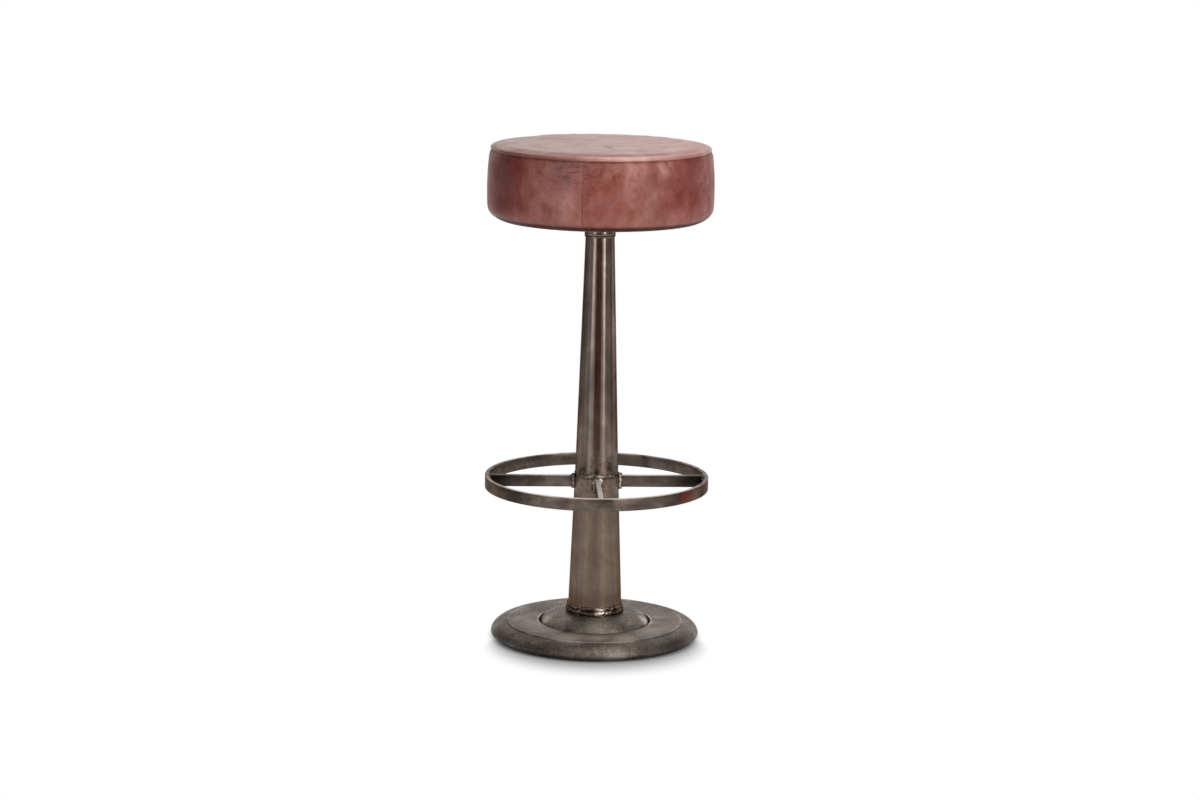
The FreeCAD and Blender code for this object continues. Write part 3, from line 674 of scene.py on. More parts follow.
def columnCone(name, low, high, material, node):
    wall = columnSet["wall"]
    steps = 10
    rise = [(high[0] - low[0]) / steps, (high[1] - low[1]) / steps]
    outside = [(low[0] + rise[0] * i, low[1] + rise[1] * i) for i in range(steps + 1)]
    cone = turnPiece(name, outside + [(high[0] - wall, high[1]), (low[0] - wall, low[1])],
                     columnSet["segments"], True)
    smooth(cone)
    settle(cone, "stand", "aged_steel", material, node)


def weldRing(name, weld):
    bead = turnPiece(name, weld["rings"], columnSet["weldSegments"], True)
    roughen(bead, weld["lump"], weld["depth"])
    if weld["wander"]:
        roughen(bead, columnSet["wanderSize"], weld["wander"], "Z")
    smooth(bead, 70)
    settle(bead, "stand", "aged_steel", weldSteel, weld["node"])


columnCone("lowerColumn", columnSet["foot"], columnSet["joint"], lowerSteel, "lower_column")
columnCone("upperColumn", columnSet["joint"], columnSet["head"], upperSteel, "upper_column")
for weldName, weld in columnSet["welds"].items():
    weldRing(weldName, weld)
collar = turnPiece("bearingCollar", columnSet["collar"], columnSet["segments"], True)
bevelRings(collar, columnSet["collarBevels"])
smooth(collar)
settle(collar, "stand", "aged_steel", upperSteel, "bearing_housing")
print("stool: column made")

# Foot ring and its four spokes, flat bar with softened edges

ringSet = {
    "segments": 256, "outer": 171, "inner": 165, "bottom": 235, "top": 254, "edge": 0.9,
    "spokeTop": 254, "spokeBottom": 236, "spokeThickness": 8, "spokeEdge": 0.8,
    "spokeFrom": 32.6, "spokeTo": 165.2,
    "spokes": {"spokeRight": (0, "spoke_right"), "spokeBack": (90, "spoke_back"),
               "spokeLeft": (180, "spoke_left"), "spokeFront": (270, "spoke_front")},
    "rootBead": {"reach": 35.5, "inside": 1.5, "radius": 4.0, "rough": 2.4,
                 "lumps": (0.8, 1.0, 0.7, 0.9, 1.15)},
    "endBead": {"reach": 163.4, "inside": 1.5, "radius": 2.9, "rough": 1.2,
                "lumps": (0.8, 1.0, 0.85, 1.0, 0.9)},
}
corners = [(ringSet["outer"], ringSet["bottom"]), (ringSet["outer"], ringSet["top"]),
           (ringSet["inner"], ringSet["top"]), (ringSet["inner"], ringSet["bottom"])]
footRing = turnPiece("footRing", corners, ringSet["segments"], True)
bevelRings(footRing, [corner + (ringSet["edge"], 3) for corner in corners])
smooth(footRing)
settle(footRing, "stand", "aged_steel", barSteel, "foot_ring")


def turnedCopy(piece, name, degrees):
    pick(piece)
    bpy.ops.object.duplicate(linked=False)
    copy = bpy.context.object
    copy.name = name
    copy.rotation_euler.z = math.radians(degrees)
    bpy.ops.object.transform_apply(location=True, rotation=True, scale=True)
    return copy


startFresh()
spokeLength = ringSet["spokeTo"] - ringSet["spokeFrom"]
spokeHeight = ringSet["spokeTop"] - ringSet["spokeBottom"]
spokeMiddle = ((ringSet["spokeFrom"] + spokeLength / 2) * mm, 0,
               (ringSet["spokeBottom"] + spokeHeight / 2) * mm)
spokeSize = (spokeLength * mm, ringSet["spokeThickness"] * mm, spokeHeight * mm)
bpy.ops.mesh.primitive_cube_add(size=1, location=spokeMiddle, scale=spokeSize)
spokeBar = bpy.context.object
spokeBar.name = "spokeBar"
bpy.ops.object.transform_apply(location=True, rotation=True, scale=True)
applyModifier(spokeBar, "BEVEL",
              {"width": ringSet["spokeEdge"] * mm, "segments": 3, "limit_method": "ANGLE"})
smooth(spokeBar)
for spokeName, (angle, node) in ringSet["spokes"].items():
    settle(turnedCopy(spokeBar, spokeName, angle), "stand", "aged_steel", spokeSteel, node)
bpy.data.objects.remove(spokeBar)


# Weld beads up both sides of every spoke, each a stack of uneven lumps
def spokeBeads(name, bead, node):
    half = ringSet["spokeThickness"] / 2
    lumps = bead["lumps"]
    step = (spokeHeight - 2 * bead["inside"]) / (len(lumps) - 1)
    beads = []
    for angle, _ in ringSet["spokes"].values():
        for side in (-1, 1):
            for i, lump in enumerate(lumps if side > 0 else lumps[::-1]):
                startFresh()
                bpy.ops.mesh.primitive_uv_sphere_add(segments=20, ring_count=12,
                                                     radius=bead["radius"] * lump * mm)
                blob = bpy.context.object
                height = ringSet["spokeBottom"] + bead["inside"] + i * step
                blob.location = (bead["reach"] * mm, side * (half + 0.5) * mm, height * mm)
                bpy.ops.object.transform_apply(location=True, rotation=True, scale=True)
                blob.rotation_euler.z = math.radians(angle)
                bpy.ops.object.transform_apply(location=True, rotation=True, scale=True)
                beads.append(blob)
    startFresh()
    for blob in beads:
        blob.select_set(True)
    bpy.context.view_layer.objects.active = beads[0]
    bpy.ops.object.join()
    joined = bpy.context.object
    joined.name = name
    roughen(joined, 5, bead["rough"])
    smooth(joined, 80)
    settle(joined, "stand", "aged_steel", weldSteel, node)


spokeBeads("spokeColumnWelds", ringSet["rootBead"], "spoke_column_welds")
spokeBeads("spokeRingWelds", ringSet["endBead"], "spoke_ring_welds")
print("stool: foot ring made")

# Waxed aniline leather, oxblood, rubbed by hand: cloudy colour, soft gloss, fine grain, dark joins, painted
# shade along the seam, in folds and creases and under the seat, and painted light and shade round the seat by
# angle

leatherSet = {
    "cloudMm": 40, "smearMm": 13, "fineMm": 5, "creaseMm": 34, "wanderMm": 30, "puckerMm": 7,
    "grainMm": 3.0,  # real grain is about 1 mm, too fine to show
    "tone": (0.68, 1.38),
    "rough": (0.4, 0.58), "grain": 0.16, "soft": 0.12,
    "sheen": 0.05, "sheenRough": 0.5, "sheenTint": "#e8cfc8",
    "smear": (1, 1, 0.65), "rich": (1.14, 0.88),
    # dark colour for joins and scars, and for painted shade in creases, folds, along the seam and under the
    # seat
    "joinAngle": -11.5, "seamHeight": 753.2, "darkStainAndShade": "#3d1d19",
}


# Angle round the seat, 0 at the front and positive to the right, in radians
def seatAngle(tree, place):
    x, y, z = addNode(tree, "SeparateXYZ", {}, {0: place}).outputs
    front = addNode(tree, "Math", {"operation": "MULTIPLY", 1: -1.0}, {0: y}).outputs[0]
    return addNode(tree, "Math", {"operation": "ARCTAN2"}, {0: x, 1: front}).outputs[0], z


# Colour of the hide round the seat, with painted light and shade by angle, clouded, darker in creases as
# painted shade, and the grain; gives colour, clouds, smears and a bump
def leatherGround(tree, place, look):
    drawn = addNode(tree, "VectorMath", {"operation": "MULTIPLY", 1: look["smear"]}, {0: place}).outputs[0]
    clouds = addNode(tree, "TexNoise", {"Scale": perSize(look["cloudMm"]), "Detail": 5, "Roughness": 0.6,
                                        "Distortion": 0.4}, {"Vector": place}).outputs[0]
    smears = addNode(tree, "TexNoise", {"Scale": perSize(look["smearMm"]), "Detail": 4, "Roughness": 0.55,
                                        "Distortion": 0.3}, {"Vector": drawn}).outputs[0]
    blend = addNode(tree, "Math", {"operation": "MULTIPLY_ADD", 1: 0.6}, {0: smears, 2: clouds}).outputs[0]
    flecks = addNode(tree, "TexNoise", {"Scale": perSize(look["fineMm"]), "Detail": 3, "Roughness": 0.65},
                     {"Vector": drawn}).outputs[0]
    flecked = addNode(tree, "Math", {"operation": "MULTIPLY_ADD", 1: 0.45},
                      {0: flecks, 2: blend}).outputs[0]
    tone = addNode(tree, "MapRange", {1: 0.775, 2: 1.275, 3: look["tone"][0], 4: look["tone"][1]},
                   {0: flecked}).outputs[0]
    angle, z = seatAngle(tree, place)
    around = addNode(tree, "MapRange", {1: -math.pi, 2: math.pi}, {0: angle}).outputs[0]
    stops = [(0.5 + degrees / 360, colour) for degrees, colour in look["hide"]]
    hide = addNode(tree, "ValToRGB", {"stops": stops}, {0: around}).outputs[0]
    shaded = addNode(tree, "VectorMath", {"operation": "SCALE"}, {0: hide, "Scale": tone}).outputs[0]
    richness = addNode(tree, "MapRange", {1: 0.55, 2: 1.05, 3: look["rich"][0], 4: look["rich"][1]},
                       {0: blend}).outputs[0]
    colour = addNode(tree, "HueSaturation", {}, {"Color": shaded, "Saturation": richness}).outputs[0]
    cells = addNode(tree, "TexVoronoi", {"feature": "DISTANCE_TO_EDGE", "Scale": perSize(look["grainMm"])},
                    {"Vector": place}).outputs[0]
    pebble = addNode(tree, "MapRange", {1: 0.0, 2: 0.25}, {0: cells}).outputs[0]
    wander = addNode(tree, "TexNoise", {"Scale": perSize(look["wanderMm"]), "Detail": 3},
                     {"Vector": place}).outputs["Color"]
    bent = addNode(tree, "VectorMath", {"operation": "MULTIPLY_ADD", 1: (0.03, 0.03, 0.03)},
                   {0: wander, 2: place}).outputs[0]
    lines = addNode(tree, "TexVoronoi", {"feature": "DISTANCE_TO_EDGE", "Scale": perSize(look["creaseMm"])},
                    {"Vector": bent}).outputs[0]
    crease = addNode(tree, "MapRange", {1: 0.035, 2: 0.0}, {0: lines}).outputs[0]
    worn = addNode(tree, "MapRange", {1: 0.5, 2: 0.68}, {0: clouds}).outputs[0]
    crease = addNode(tree, "Math", {"operation": "MULTIPLY"}, {0: crease, 1: worn}).outputs[0]
    # creases painted darker: painted shade
    creaseShade = addNode(tree, "Math", {"operation": "MULTIPLY", 1: 0.3}, {0: crease}).outputs[0]
    colour = addNode(tree, "Mix", {"data_type": "RGBA", 7: look["darkStainAndShade"]},
                     {0: creaseShade, 6: colour}).outputs[2]
    soft = addNode(tree, "Bump", {"Strength": look["soft"], "Distance": 0.003},
                   {"Height": blend}).outputs[0]
    folded = addNode(tree, "Bump", {"Strength": 0.3, "Distance": 0.0012, "invert": True},
                     {"Height": crease, "Normal": soft}).outputs[0]
    bump = addNode(tree, "Bump", {"Strength": look["grain"], "Distance": 0.0004},
                   {"Height": pebble, "Normal": folded}).outputs[0]
    return colour, clouds, smears, bump


def leatherFinish(tree, shader, look, colour, bump, gloss):
    tree.links.new(colour, shader.inputs["Base Color"])
    tree.links.new(bump, shader.inputs["Normal"])
    roughness = addNode(tree, "MapRange", {1: 0.3, 2: 0.7, 3: look["rough"][1], 4: look["rough"][0]},
                        {0: gloss}).outputs[0]
    tree.links.new(roughness, shader.inputs["Roughness"])
    shader.inputs["Sheen Weight"].default_value = look["sheen"]
    shader.inputs["Sheen Roughness"].default_value = look["sheenRough"]
    shader.inputs["Sheen Tint"].default_value = linear(look["sheenTint"])


def bandLeather():
    look = dict(leatherSet, hide=bandSet["hide"])
    material, tree, shader, place = newMaterial("waxedLeatherBand")
    colour, clouds, smears, bump = leatherGround(tree, place, look)
    angle, z = seatAngle(tree, place)
    patches = addNode(tree, "MapRange", {1: 0.3, 2: 0.65}, {0: smears}).outputs[0]
    for spot in bandSet["spots"]:
        flattened = addNode(tree, "VectorMath", {"operation": "MULTIPLY", 1: (1, 1, spot["flat"])},
                            {0: place}).outputs[0]
        centre = bandPoint(spot["angle"], spot["height"])
        centre.z *= spot["flat"]
        away = addNode(tree, "VectorMath", {"operation": "DISTANCE", 1: centre},
                       {0: flattened}).outputs["Value"]
        amount = addNode(tree, "MapRange", {"interpolation_type": "SMOOTHSTEP", 1: spot["size"] * mm,
                                            2: 0.0, 4: spot["amount"]}, {0: away}).outputs[0]
        mottled = addNode(tree, "Math", {"operation": "MULTIPLY"}, {0: amount, 1: patches}).outputs[0]
        colour = addNode(tree, "Mix", {"data_type": "RGBA", 7: spot["colour"]},
                         {0: mottled, 6: colour}).outputs[2]
    # paler where the belly turns under
    turn = bandSet["belly"]
    belly = addNode(tree, "MapRange", {"interpolation_type": "SMOOTHSTEP", 1: turn["from"] * mm,
                                       2: turn["to"] * mm, 4: turn["amount"]}, {0: z}).outputs[0]
    colour = addNode(tree, "Mix", {"data_type": "RGBA", 7: turn["colour"]},
                     {0: belly, 6: colour}).outputs[2]
    # drawn-in folds beside the join, painted darker in lines and specks along their hollows: painted shade
    fold = bandSet["folds"]
    reach = math.radians(fold["reach"])
    offFold = offFrom(tree, angle, math.radians(fold["angle"]))
    beside = addNode(tree, "MapRange", {"interpolation_type": "SMOOTHSTEP", 1: reach, 2: reach / 3},
                     {0: offFold}).outputs[0]
    upper = addNode(tree, "MapRange", {"interpolation_type": "SMOOTHSTEP", 1: fold["low"] * mm,
                                       2: fold["high"] * mm}, {0: z}).outputs[0]
    folded = addNode(tree, "Math", {"operation": "MULTIPLY"}, {0: beside, 1: upper}).outputs[0]
    along = addNode(tree, "Math", {"operation": "MULTIPLY", 1: 0.06}, {0: angle}).outputs[0]
    lying = addNode(tree, "CombineXYZ", {}, {0: along, 1: z}).outputs[0]  # the folds lie flat
    foldLines = addNode(tree, "TexNoise", {"Scale": perSize(fold["sizeMm"]), "Detail": 4, "Roughness": 0.65,
                                           "Distortion": 0.5}, {"Vector": lying}).outputs[0]
    foldHeight = addNode(tree, "Math", {"operation": "MULTIPLY"}, {0: foldLines, 1: folded}).outputs[0]
    foldShade = addNode(tree, "MapRange", {1: 0.51, 2: 0.37, 4: 0.55}, {0: foldLines}).outputs[0]
    foldShadeHere = addNode(tree, "Math", {"operation": "MULTIPLY"}, {0: foldShade, 1: folded}).outputs[0]
    colour = addNode(tree, "Mix", {"data_type": "RGBA", 7: look["darkStainAndShade"]}, {0: foldShadeHere, 6: colour}).outputs[2]
    # a dark line at the join; painted shade below the top seam, less on the lit right, and a painted shadow
    # where the leather turns under
    fromJoin = offFrom(tree, angle, math.radians(look["joinAngle"]))
    joinLine = addNode(tree, "MapRange", {1: 0.0085, 2: 0.0025, 4: 0.6}, {0: fromJoin}).outputs[0]
    faint, full = bandSet["joinHeights"]
    joinDepth = addNode(tree, "MapRange", {1: faint * mm, 2: full * mm, 3: 0.2, 4: 1.0}, {0: z}).outputs[0]
    joinLine = addNode(tree, "Math", {"operation": "MULTIPLY"}, {0: joinLine, 1: joinDepth}).outputs[0]
    belowSeam = addNode(tree, "Math", {"operation": "SUBTRACT", 0: look["seamHeight"] * mm},
                        {1: z}).outputs[0]
    seamShade = addNode(tree, "MapRange", {"interpolation_type": "SMOOTHSTEP", 1: 0.0045, 2: 0.0012},
                       {0: belowSeam}).outputs[0]
    uneven = addNode(tree, "MapRange", {1: 0.62, 2: 0.4, 3: 0.1, 4: 0.85}, {0: smears}).outputs[0]
    seamShade = addNode(tree, "Math", {"operation": "MULTIPLY"}, {0: seamShade, 1: uneven}).outputs[0]
    seamShadeByAngle = addNode(tree, "MapRange", {"interpolation_type": "SMOOTHSTEP", 1: math.radians(-30),
                                         2: math.radians(48), 3: 1.0, 4: 0.25}, {0: angle}).outputs[0]
    seamShade = addNode(tree, "Math", {"operation": "MULTIPLY"}, {0: seamShade, 1: seamShadeByAngle}).outputs[0]
    under = bandSet["under"]
    underShade = addNode(tree, "MapRange", {"interpolation_type": "SMOOTHSTEP", 1: under["from"] * mm,
                                           2: under["to"] * mm, 4: under["amount"]}, {0: z}).outputs[0]
    lines = addNode(tree, "Math", {"operation": "MAXIMUM"}, {0: joinLine, 1: seamShade}).outputs[0]
    shade = addNode(tree, "Math", {"operation": "MAXIMUM"}, {0: lines, 1: underShade}).outputs[0]
    colour = addNode(tree, "Mix", {"data_type": "RGBA", 7: look["darkStainAndShade"]}, {0: shade, 6: colour}).outputs[2]
    # puckers below the top seam, which stand upright
    around = addNode(tree, "Math", {"operation": "MULTIPLY", 1: 0.17}, {0: angle}).outputs[0]
    upright = addNode(tree, "Math", {"operation": "MULTIPLY", 1: 0.16}, {0: z}).outputs[0]
    ripple = addNode(tree, "CombineXYZ", {}, {0: around, 1: upright}).outputs[0]
    pucker = addNode(tree, "TexNoise", {"Scale": perSize(look["puckerMm"]), "Detail": 2, "Roughness": 0.5},
                     {"Vector": ripple}).outputs[0]
    nearSeam = addNode(tree, "MapRange", {"interpolation_type": "SMOOTHSTEP", 1: 0.022, 2: 0.002, 4: 1.0},
                       {0: belowSeam}).outputs[0]
    puckerHeight = addNode(tree, "Math", {"operation": "MULTIPLY"}, {0: pucker, 1: nearSeam}).outputs[0]
    drawnIn = addNode(tree, "Bump", {"Strength": 0.4, "Distance": 0.003},
                      {"Height": puckerHeight, "Normal": bump}).outputs[0]
    creased = addNode(tree, "Bump", {"Strength": 0.6, "Distance": 0.003},
                      {"Height": foldHeight, "Normal": drawnIn}).outputs[0]
    leatherFinish(tree, shader, look, colour, creased, clouds)
    shine = addNode(tree, "MapRange", {3: 0.36, 4: 0.0}, {0: underShade}).outputs[0]
    tree.links.new(shine, shader.inputs["Specular IOR Level"])
    return material


def plainLeather(name, **changes):
    look = dict(leatherSet, **changes)
    material, tree, shader, place = newMaterial(name)
    colour, clouds, smears, bump = leatherGround(tree, place, look)
    if "across" in look:  # painted shade on the left and painted light on the right of the seat
        x = addNode(tree, "SeparateXYZ", {}, {0: place}).outputs[0]
        level = addNode(tree, "MapRange", {1: -0.15, 2: 0.15, 3: look["across"][0], 4: look["across"][1]},
                        {0: x}).outputs[0]
        colour = addNode(tree, "VectorMath", {"operation": "SCALE"}, {0: colour, "Scale": level}).outputs[0]
    scarred = None
    for scar in look.get("scars", ()):
        middle = [c * mm for c in scar["at"]]
        level = addNode(tree, "VectorRotate", {"rotation_type": "Z_AXIS", "Center": middle,
                                               "Angle": math.radians(scar["turn"])},
                        {"Vector": place}).outputs[0]
        off = addNode(tree, "VectorMath", {"operation": "SUBTRACT", 1: middle}, {0: level}).outputs[0]
        drawn = addNode(tree, "VectorMath",
                        {"operation": "MULTIPLY", 1: (1 / scar["wide"], 1 / scar["long"], 0.01)},
                        {0: off}).outputs[0]
        away = addNode(tree, "VectorMath", {"operation": "LENGTH"}, {0: drawn}).outputs["Value"]
        amount = addNode(tree, "MapRange", {"interpolation_type": "SMOOTHSTEP", 1: 1 * mm, 2: 0.25 * mm,
                                            4: scar["amount"]}, {0: away}).outputs[0]
        colour = addNode(tree, "Mix", {"data_type": "RGBA", 7: look["darkStainAndShade"]},
                         {0: amount, 6: colour}).outputs[2]
        shine = addNode(tree, "Mix", {2: 0.5, 3: 0.0}, {0: amount})
        if scarred:
            tree.links.new(scarred, shine.inputs[2])
        scarred = shine.outputs[0]
    leatherFinish(tree, shader, look, colour, bump, clouds)
    if scarred:  # no shine in a scar
        tree.links.new(scarred, shader.inputs["Specular IOR Level"])
    return material


# Seat: a closed drum is blown up as cloth, then cut into the top and the side band

bandSet = {
    # hide colour round the band, darker on the left and lighter at the front right: hide colour with painted
    # shade and light
    "hide": [(-180, "#84493f"), (-100, "#7c4038"), (-64, "#5b1f18"), (-47, "#6c2a22"), (-41, "#7d4138"),
             (-34, "#824940"), (-20, "#834d45"), (-12, "#8f554b"),
             (-11, "#824439"), (3, "#86473b"), (14, "#915448"), (22, "#8b4f42"), (34, "#854439"),
             (48, "#7e3b32"), (64, "#82423a"), (110, "#7f443b"), (180, "#84493f")],
    "spots": [
        {"angle": -19, "height": 688, "size": 24, "flat": 0.6, "amount": 0.6, "colour": "#b98075"},
        {"angle": 14, "height": 738, "size": 26, "flat": 0.6, "amount": 0.6, "colour": "#bd867c"},
        {"angle": 36, "height": 722, "size": 34, "flat": 0.7, "amount": 0.45, "colour": "#7b3b33"},
        {"angle": 5, "height": 690, "size": 26, "flat": 0.7, "amount": 0.4, "colour": "#7f4037"},
        {"angle": -21, "height": 733, "size": 38, "flat": 0.8, "amount": 0.6, "colour": "#5a2a24"},
        {"angle": -58, "height": 728, "size": 40, "flat": 0.6, "amount": 0.75, "colour": "#4a1612"},
        {"angle": -35, "height": 679, "size": 22, "flat": 0.7, "amount": 0.4, "colour": "#a4675c"},
        {"angle": 2, "height": 741, "size": 20, "flat": 0.9, "amount": 0.5, "colour": "#b5786c"},
        {"angle": -2, "height": 686, "size": 18, "flat": 0.8, "amount": 0.45, "colour": "#6f3128"},
        {"angle": 50, "height": 730, "size": 28, "flat": 0.8, "amount": 0.85, "colour": "#66211b"},
        {"angle": 31, "height": 745, "size": 23, "flat": 1.0, "amount": 0.7, "colour": "#cd988d"},
        {"angle": 27, "height": 671, "size": 30, "flat": 0.8, "amount": 0.7, "colour": "#6b2d25"},
        {"angle": -10, "height": 729, "size": 5, "flat": 1.4, "amount": 0.9, "colour": "#3d1d19"},
        {"angle": -8, "height": 705, "size": 5, "flat": 1.4, "amount": 0.9, "colour": "#3d1d19"},
        {"angle": 6, "height": 743, "size": 15, "flat": 0.9, "amount": 0.4, "colour": "#bd857a"},
        {"angle": 24, "height": 662, "size": 16, "flat": 0.8, "amount": 0.4, "colour": "#6b2d25"},
        {"angle": 150, "height": 700, "size": 60, "flat": 0.6, "amount": 0.4, "colour": "#a4685d"},
        {"angle": -120, "height": 705, "size": 60, "flat": 0.5, "amount": 0.4, "colour": "#7a3f37"},
    ],
    "belly": {"from": 684, "to": 662, "amount": 0.12, "colour": "#b5847a"},
    # painted shadow under the seat's lower edge
    "under": {"from": 659.5, "to": 654, "amount": 0.95},
    "joinHeights": (730, 690),
    "folds": {"angle": -13, "reach": 17, "low": 698, "high": 726, "sizeMm": 6},
}
# welt colour round the seat, dark on the left and pale at the front right: painted shade and painted
# highlight
weltShadeByAngle = [(-180, "#a06c61"), (-90, "#6e3a33"), (-64, "#693831"), (-30, "#82493f"), (-18, "#8b5148"),
            (-8, "#b57f74"), (9, "#d2a097"),
            (26, "#c4938a"), (40, "#ad7a70"), (64, "#a6746a"), (180, "#a06c61")]
topHide = [(-180, "#955c51"), (180, "#955c51")]
seatSet = {
    "segments": 192, "radius": 170, "bottom": 650, "fullest": 695, "seamRadius": 166.5, "start": -0.2,
    "lowerEdge": 20, "belly": 1.0,  # the stuffing pushes the lower edge down by the belly
    "pressure": 3.0, "slack": 0.006, "frames": 20, "cap": 2.4,
    "leather": 1.8, "tuck": 3.0, "stuffing": 2.4,
    "welt": {"centre": (160.3, 756.0), "width": 6.0, "height": 3.6},
}


def bandPoint(angle, height):
    turn = math.radians(angle)
    reach = seatSet["radius"] * mm
    return Vector((math.sin(turn) * reach, -math.cos(turn) * reach, height * mm))


def sideRadius(height):  # outside of the band in mm, drawn in to the seam above and a little below
    away = height - seatSet["fullest"]
    if away > 0:
        return seatSet["radius"] - 3.5 * (away / 55) ** 2
    return seatSet["radius"] - 0.6 * (away / 30) ** 2


inset = seatSet["start"]
corner = seatSet["lowerEdge"]
bottom = seatSet["bottom"]
lowest = bottom - seatSet["belly"]
underside = [(126, bottom), (132, bottom), (138, bottom), (144, (bottom + lowest) / 2), (150, lowest)]
lowerEdge = cornerRings((169.4 - corner - inset, lowest + corner), corner, corner, -90, 0, 6)
side = [(sideRadius(h) - inset, h) for h in range(670, 748, 5)]
seamRing = (seatSet["seamRadius"], leatherSet["seamHeight"])
topEdge = [seamRing, (163.5, 754.6), (160, 757), (157, 759), (154, 759.7), (150, 759.85)]
drumRings = underside + lowerEdge + side + topEdge + [(146, 759.9)]
drum = turnPiece("seatCushion", drumRings, seatSet["segments"])
selectRings(drum, [drumRings[-1]])
bpy.ops.mesh.fill_grid(span=seatSet["segments"] // 4)
bpy.ops.object.mode_set(mode="OBJECT")
capRings(drum, [drumRings[0]])
drum.rotation_euler.z = math.radians(leatherSet["joinAngle"])
bpy.ops.object.transform_apply(location=True, rotation=True, scale=True)

sewn = drum.vertex_groups.new(name="sewn")
for point in drum.data.vertices:
    r, z = point.co.xy.length / mm, point.co.z / mm
    turnedUnder = z < bottom + 0.5 and r < 156
    atSeam = z > seamRing[1] - 0.3 and r > 155
    if turnedUnder or atSeam:
        sewn.add([point.index], 1.0, "REPLACE")


def blowUp(piece, look):
    before = [point.co.copy() for point in piece.data.vertices]
    pick(piece)
    cloth = piece.modifiers.new("cloth", "CLOTH")
    cloth.settings.quality = 6
    cloth.settings.mass = 0.3
    cloth.settings.tension_stiffness = 20
    cloth.settings.compression_stiffness = 20
    cloth.settings.bending_stiffness = 1.5
    cloth.settings.use_pressure = True
    cloth.settings.uniform_pressure_force = look["pressure"]
    cloth.settings.shrink_min = -look["slack"]
    cloth.settings.vertex_group_mass = "sewn"
    cloth.settings.effector_weights.gravity = 0
    cloth.collision_settings.use_collision = False
    for step in range(1, look["frames"] + 1):
        scene.frame_set(step)
    bpy.ops.object.modifier_apply(modifier="cloth")
    scene.frame_set(1)
    for point, start in zip(piece.data.vertices, before):
        moved = point.co - start
        if moved.length > look["cap"] * mm:
            point.co = start + moved.normalized() * look["cap"] * mm


blowUp(drum, seatSet)
print("stool: seat blown up")

bandMaterial = bandLeather()
topScars = [{"at": (8, -54, 760), "turn": -14, "long": 36, "wide": 5, "amount": 0.85},
            {"at": (-62, 40, 760), "turn": 70, "long": 22, "wide": 4, "amount": 0.5}]
topMaterial = plainLeather("waxedLeatherTop", hide=topHide, scars=topScars, across=(0.68, 1.2),
                           tone=(0.8, 1.16), smear=(0.35, 1, 1), rough=(0.26, 0.38), soft=0.03)
weltMaterial = plainLeather("waxedLeatherWelt", hide=weltShadeByAngle, tone=(0.85, 1.15), rough=(0.3, 0.45),
                            soft=0.05)

pick(drum)
bpy.ops.object.duplicate(linked=False)
band = bpy.context.object
band.name = "leatherBand"
clearSelection(band, "FACE")
for face in band.data.polygons:
    face.select = face.center.z > seamRing[1] * mm
bpy.ops.object.mode_set(mode="EDIT")
bpy.ops.mesh.separate(type="SELECTED")
bpy.ops.mesh.select_all(action="DESELECT")
bpy.ops.object.mode_set(mode="OBJECT")
top = [o for o in bpy.context.selected_objects if o != band][0]
top.name = "leatherTop"
for face in band.data.polygons:
    face.select = len(face.vertices) > 4
bpy.ops.object.mode_set(mode="EDIT")
bpy.ops.mesh.delete(type="ONLY_FACE")
bpy.ops.object.mode_set(mode="OBJECT")


# Turns the sewn edge in behind the seam, then gives the leather its thickness
def finishLeather(piece, drop):
    clearSelection(piece, "EDGE")
    for edge in piece.data.edges:
        ends = [piece.data.vertices[i].co for i in edge.vertices]
        edge.select = all(abs(end.z - seamRing[1] * mm) < 0.0008 and end.xy.length > 0.16 for end in ends)
    bpy.ops.object.mode_set(mode="EDIT")
    bpy.ops.transform.translate(value=(0, 0, -drop * mm))
    bpy.ops.mesh.extrude_region_move(TRANSFORM_OT_translate={"value": (0, 0, drop * 0.6 * mm)})
    shrink = 1 - seatSet["tuck"] / seamRing[0]
    bpy.ops.transform.resize(value=(shrink, shrink, 1), center_override=(0, 0, seamRing[1] * mm))
    bpy.ops.object.mode_set(mode="OBJECT")
    applyModifier(piece, "SUBSURF", {"levels": 1, "render_levels": 1})
    applyModifier(piece, "SOLIDIFY", {"thickness": seatSet["leather"] * mm, "offset": -1})
    smooth(piece, 60)


finishLeather(band, 0.5)
finishLeather(top, -1.2)
settle(band, "seat", "leather", bandMaterial, "leather_side_band")
settle(top, "seat", "leather", topMaterial, "leather_top")

# The stuffing inside, a little smaller than the leather
pick(drum)
bpy.ops.object.mode_set(mode="EDIT")
bpy.ops.mesh.select_all(action="SELECT")
bpy.ops.transform.shrink_fatten(value=-seatSet["stuffing"] * mm)
bpy.ops.object.mode_set(mode="OBJECT")
smooth(drum, 60)

weltLook = seatSet["welt"]
weltRings = cornerRings(weltLook["centre"], weltLook["width"], weltLook["height"], 0, 360, 20)[:-1]
welt = turnPiece("seamWelt", weltRings, 256, True)
roughen(welt, 14, 0.7)
smooth(welt, 180)
settle(welt, "seat", "leather", weltMaterial, "seam_welt")
print("stool: leather made")


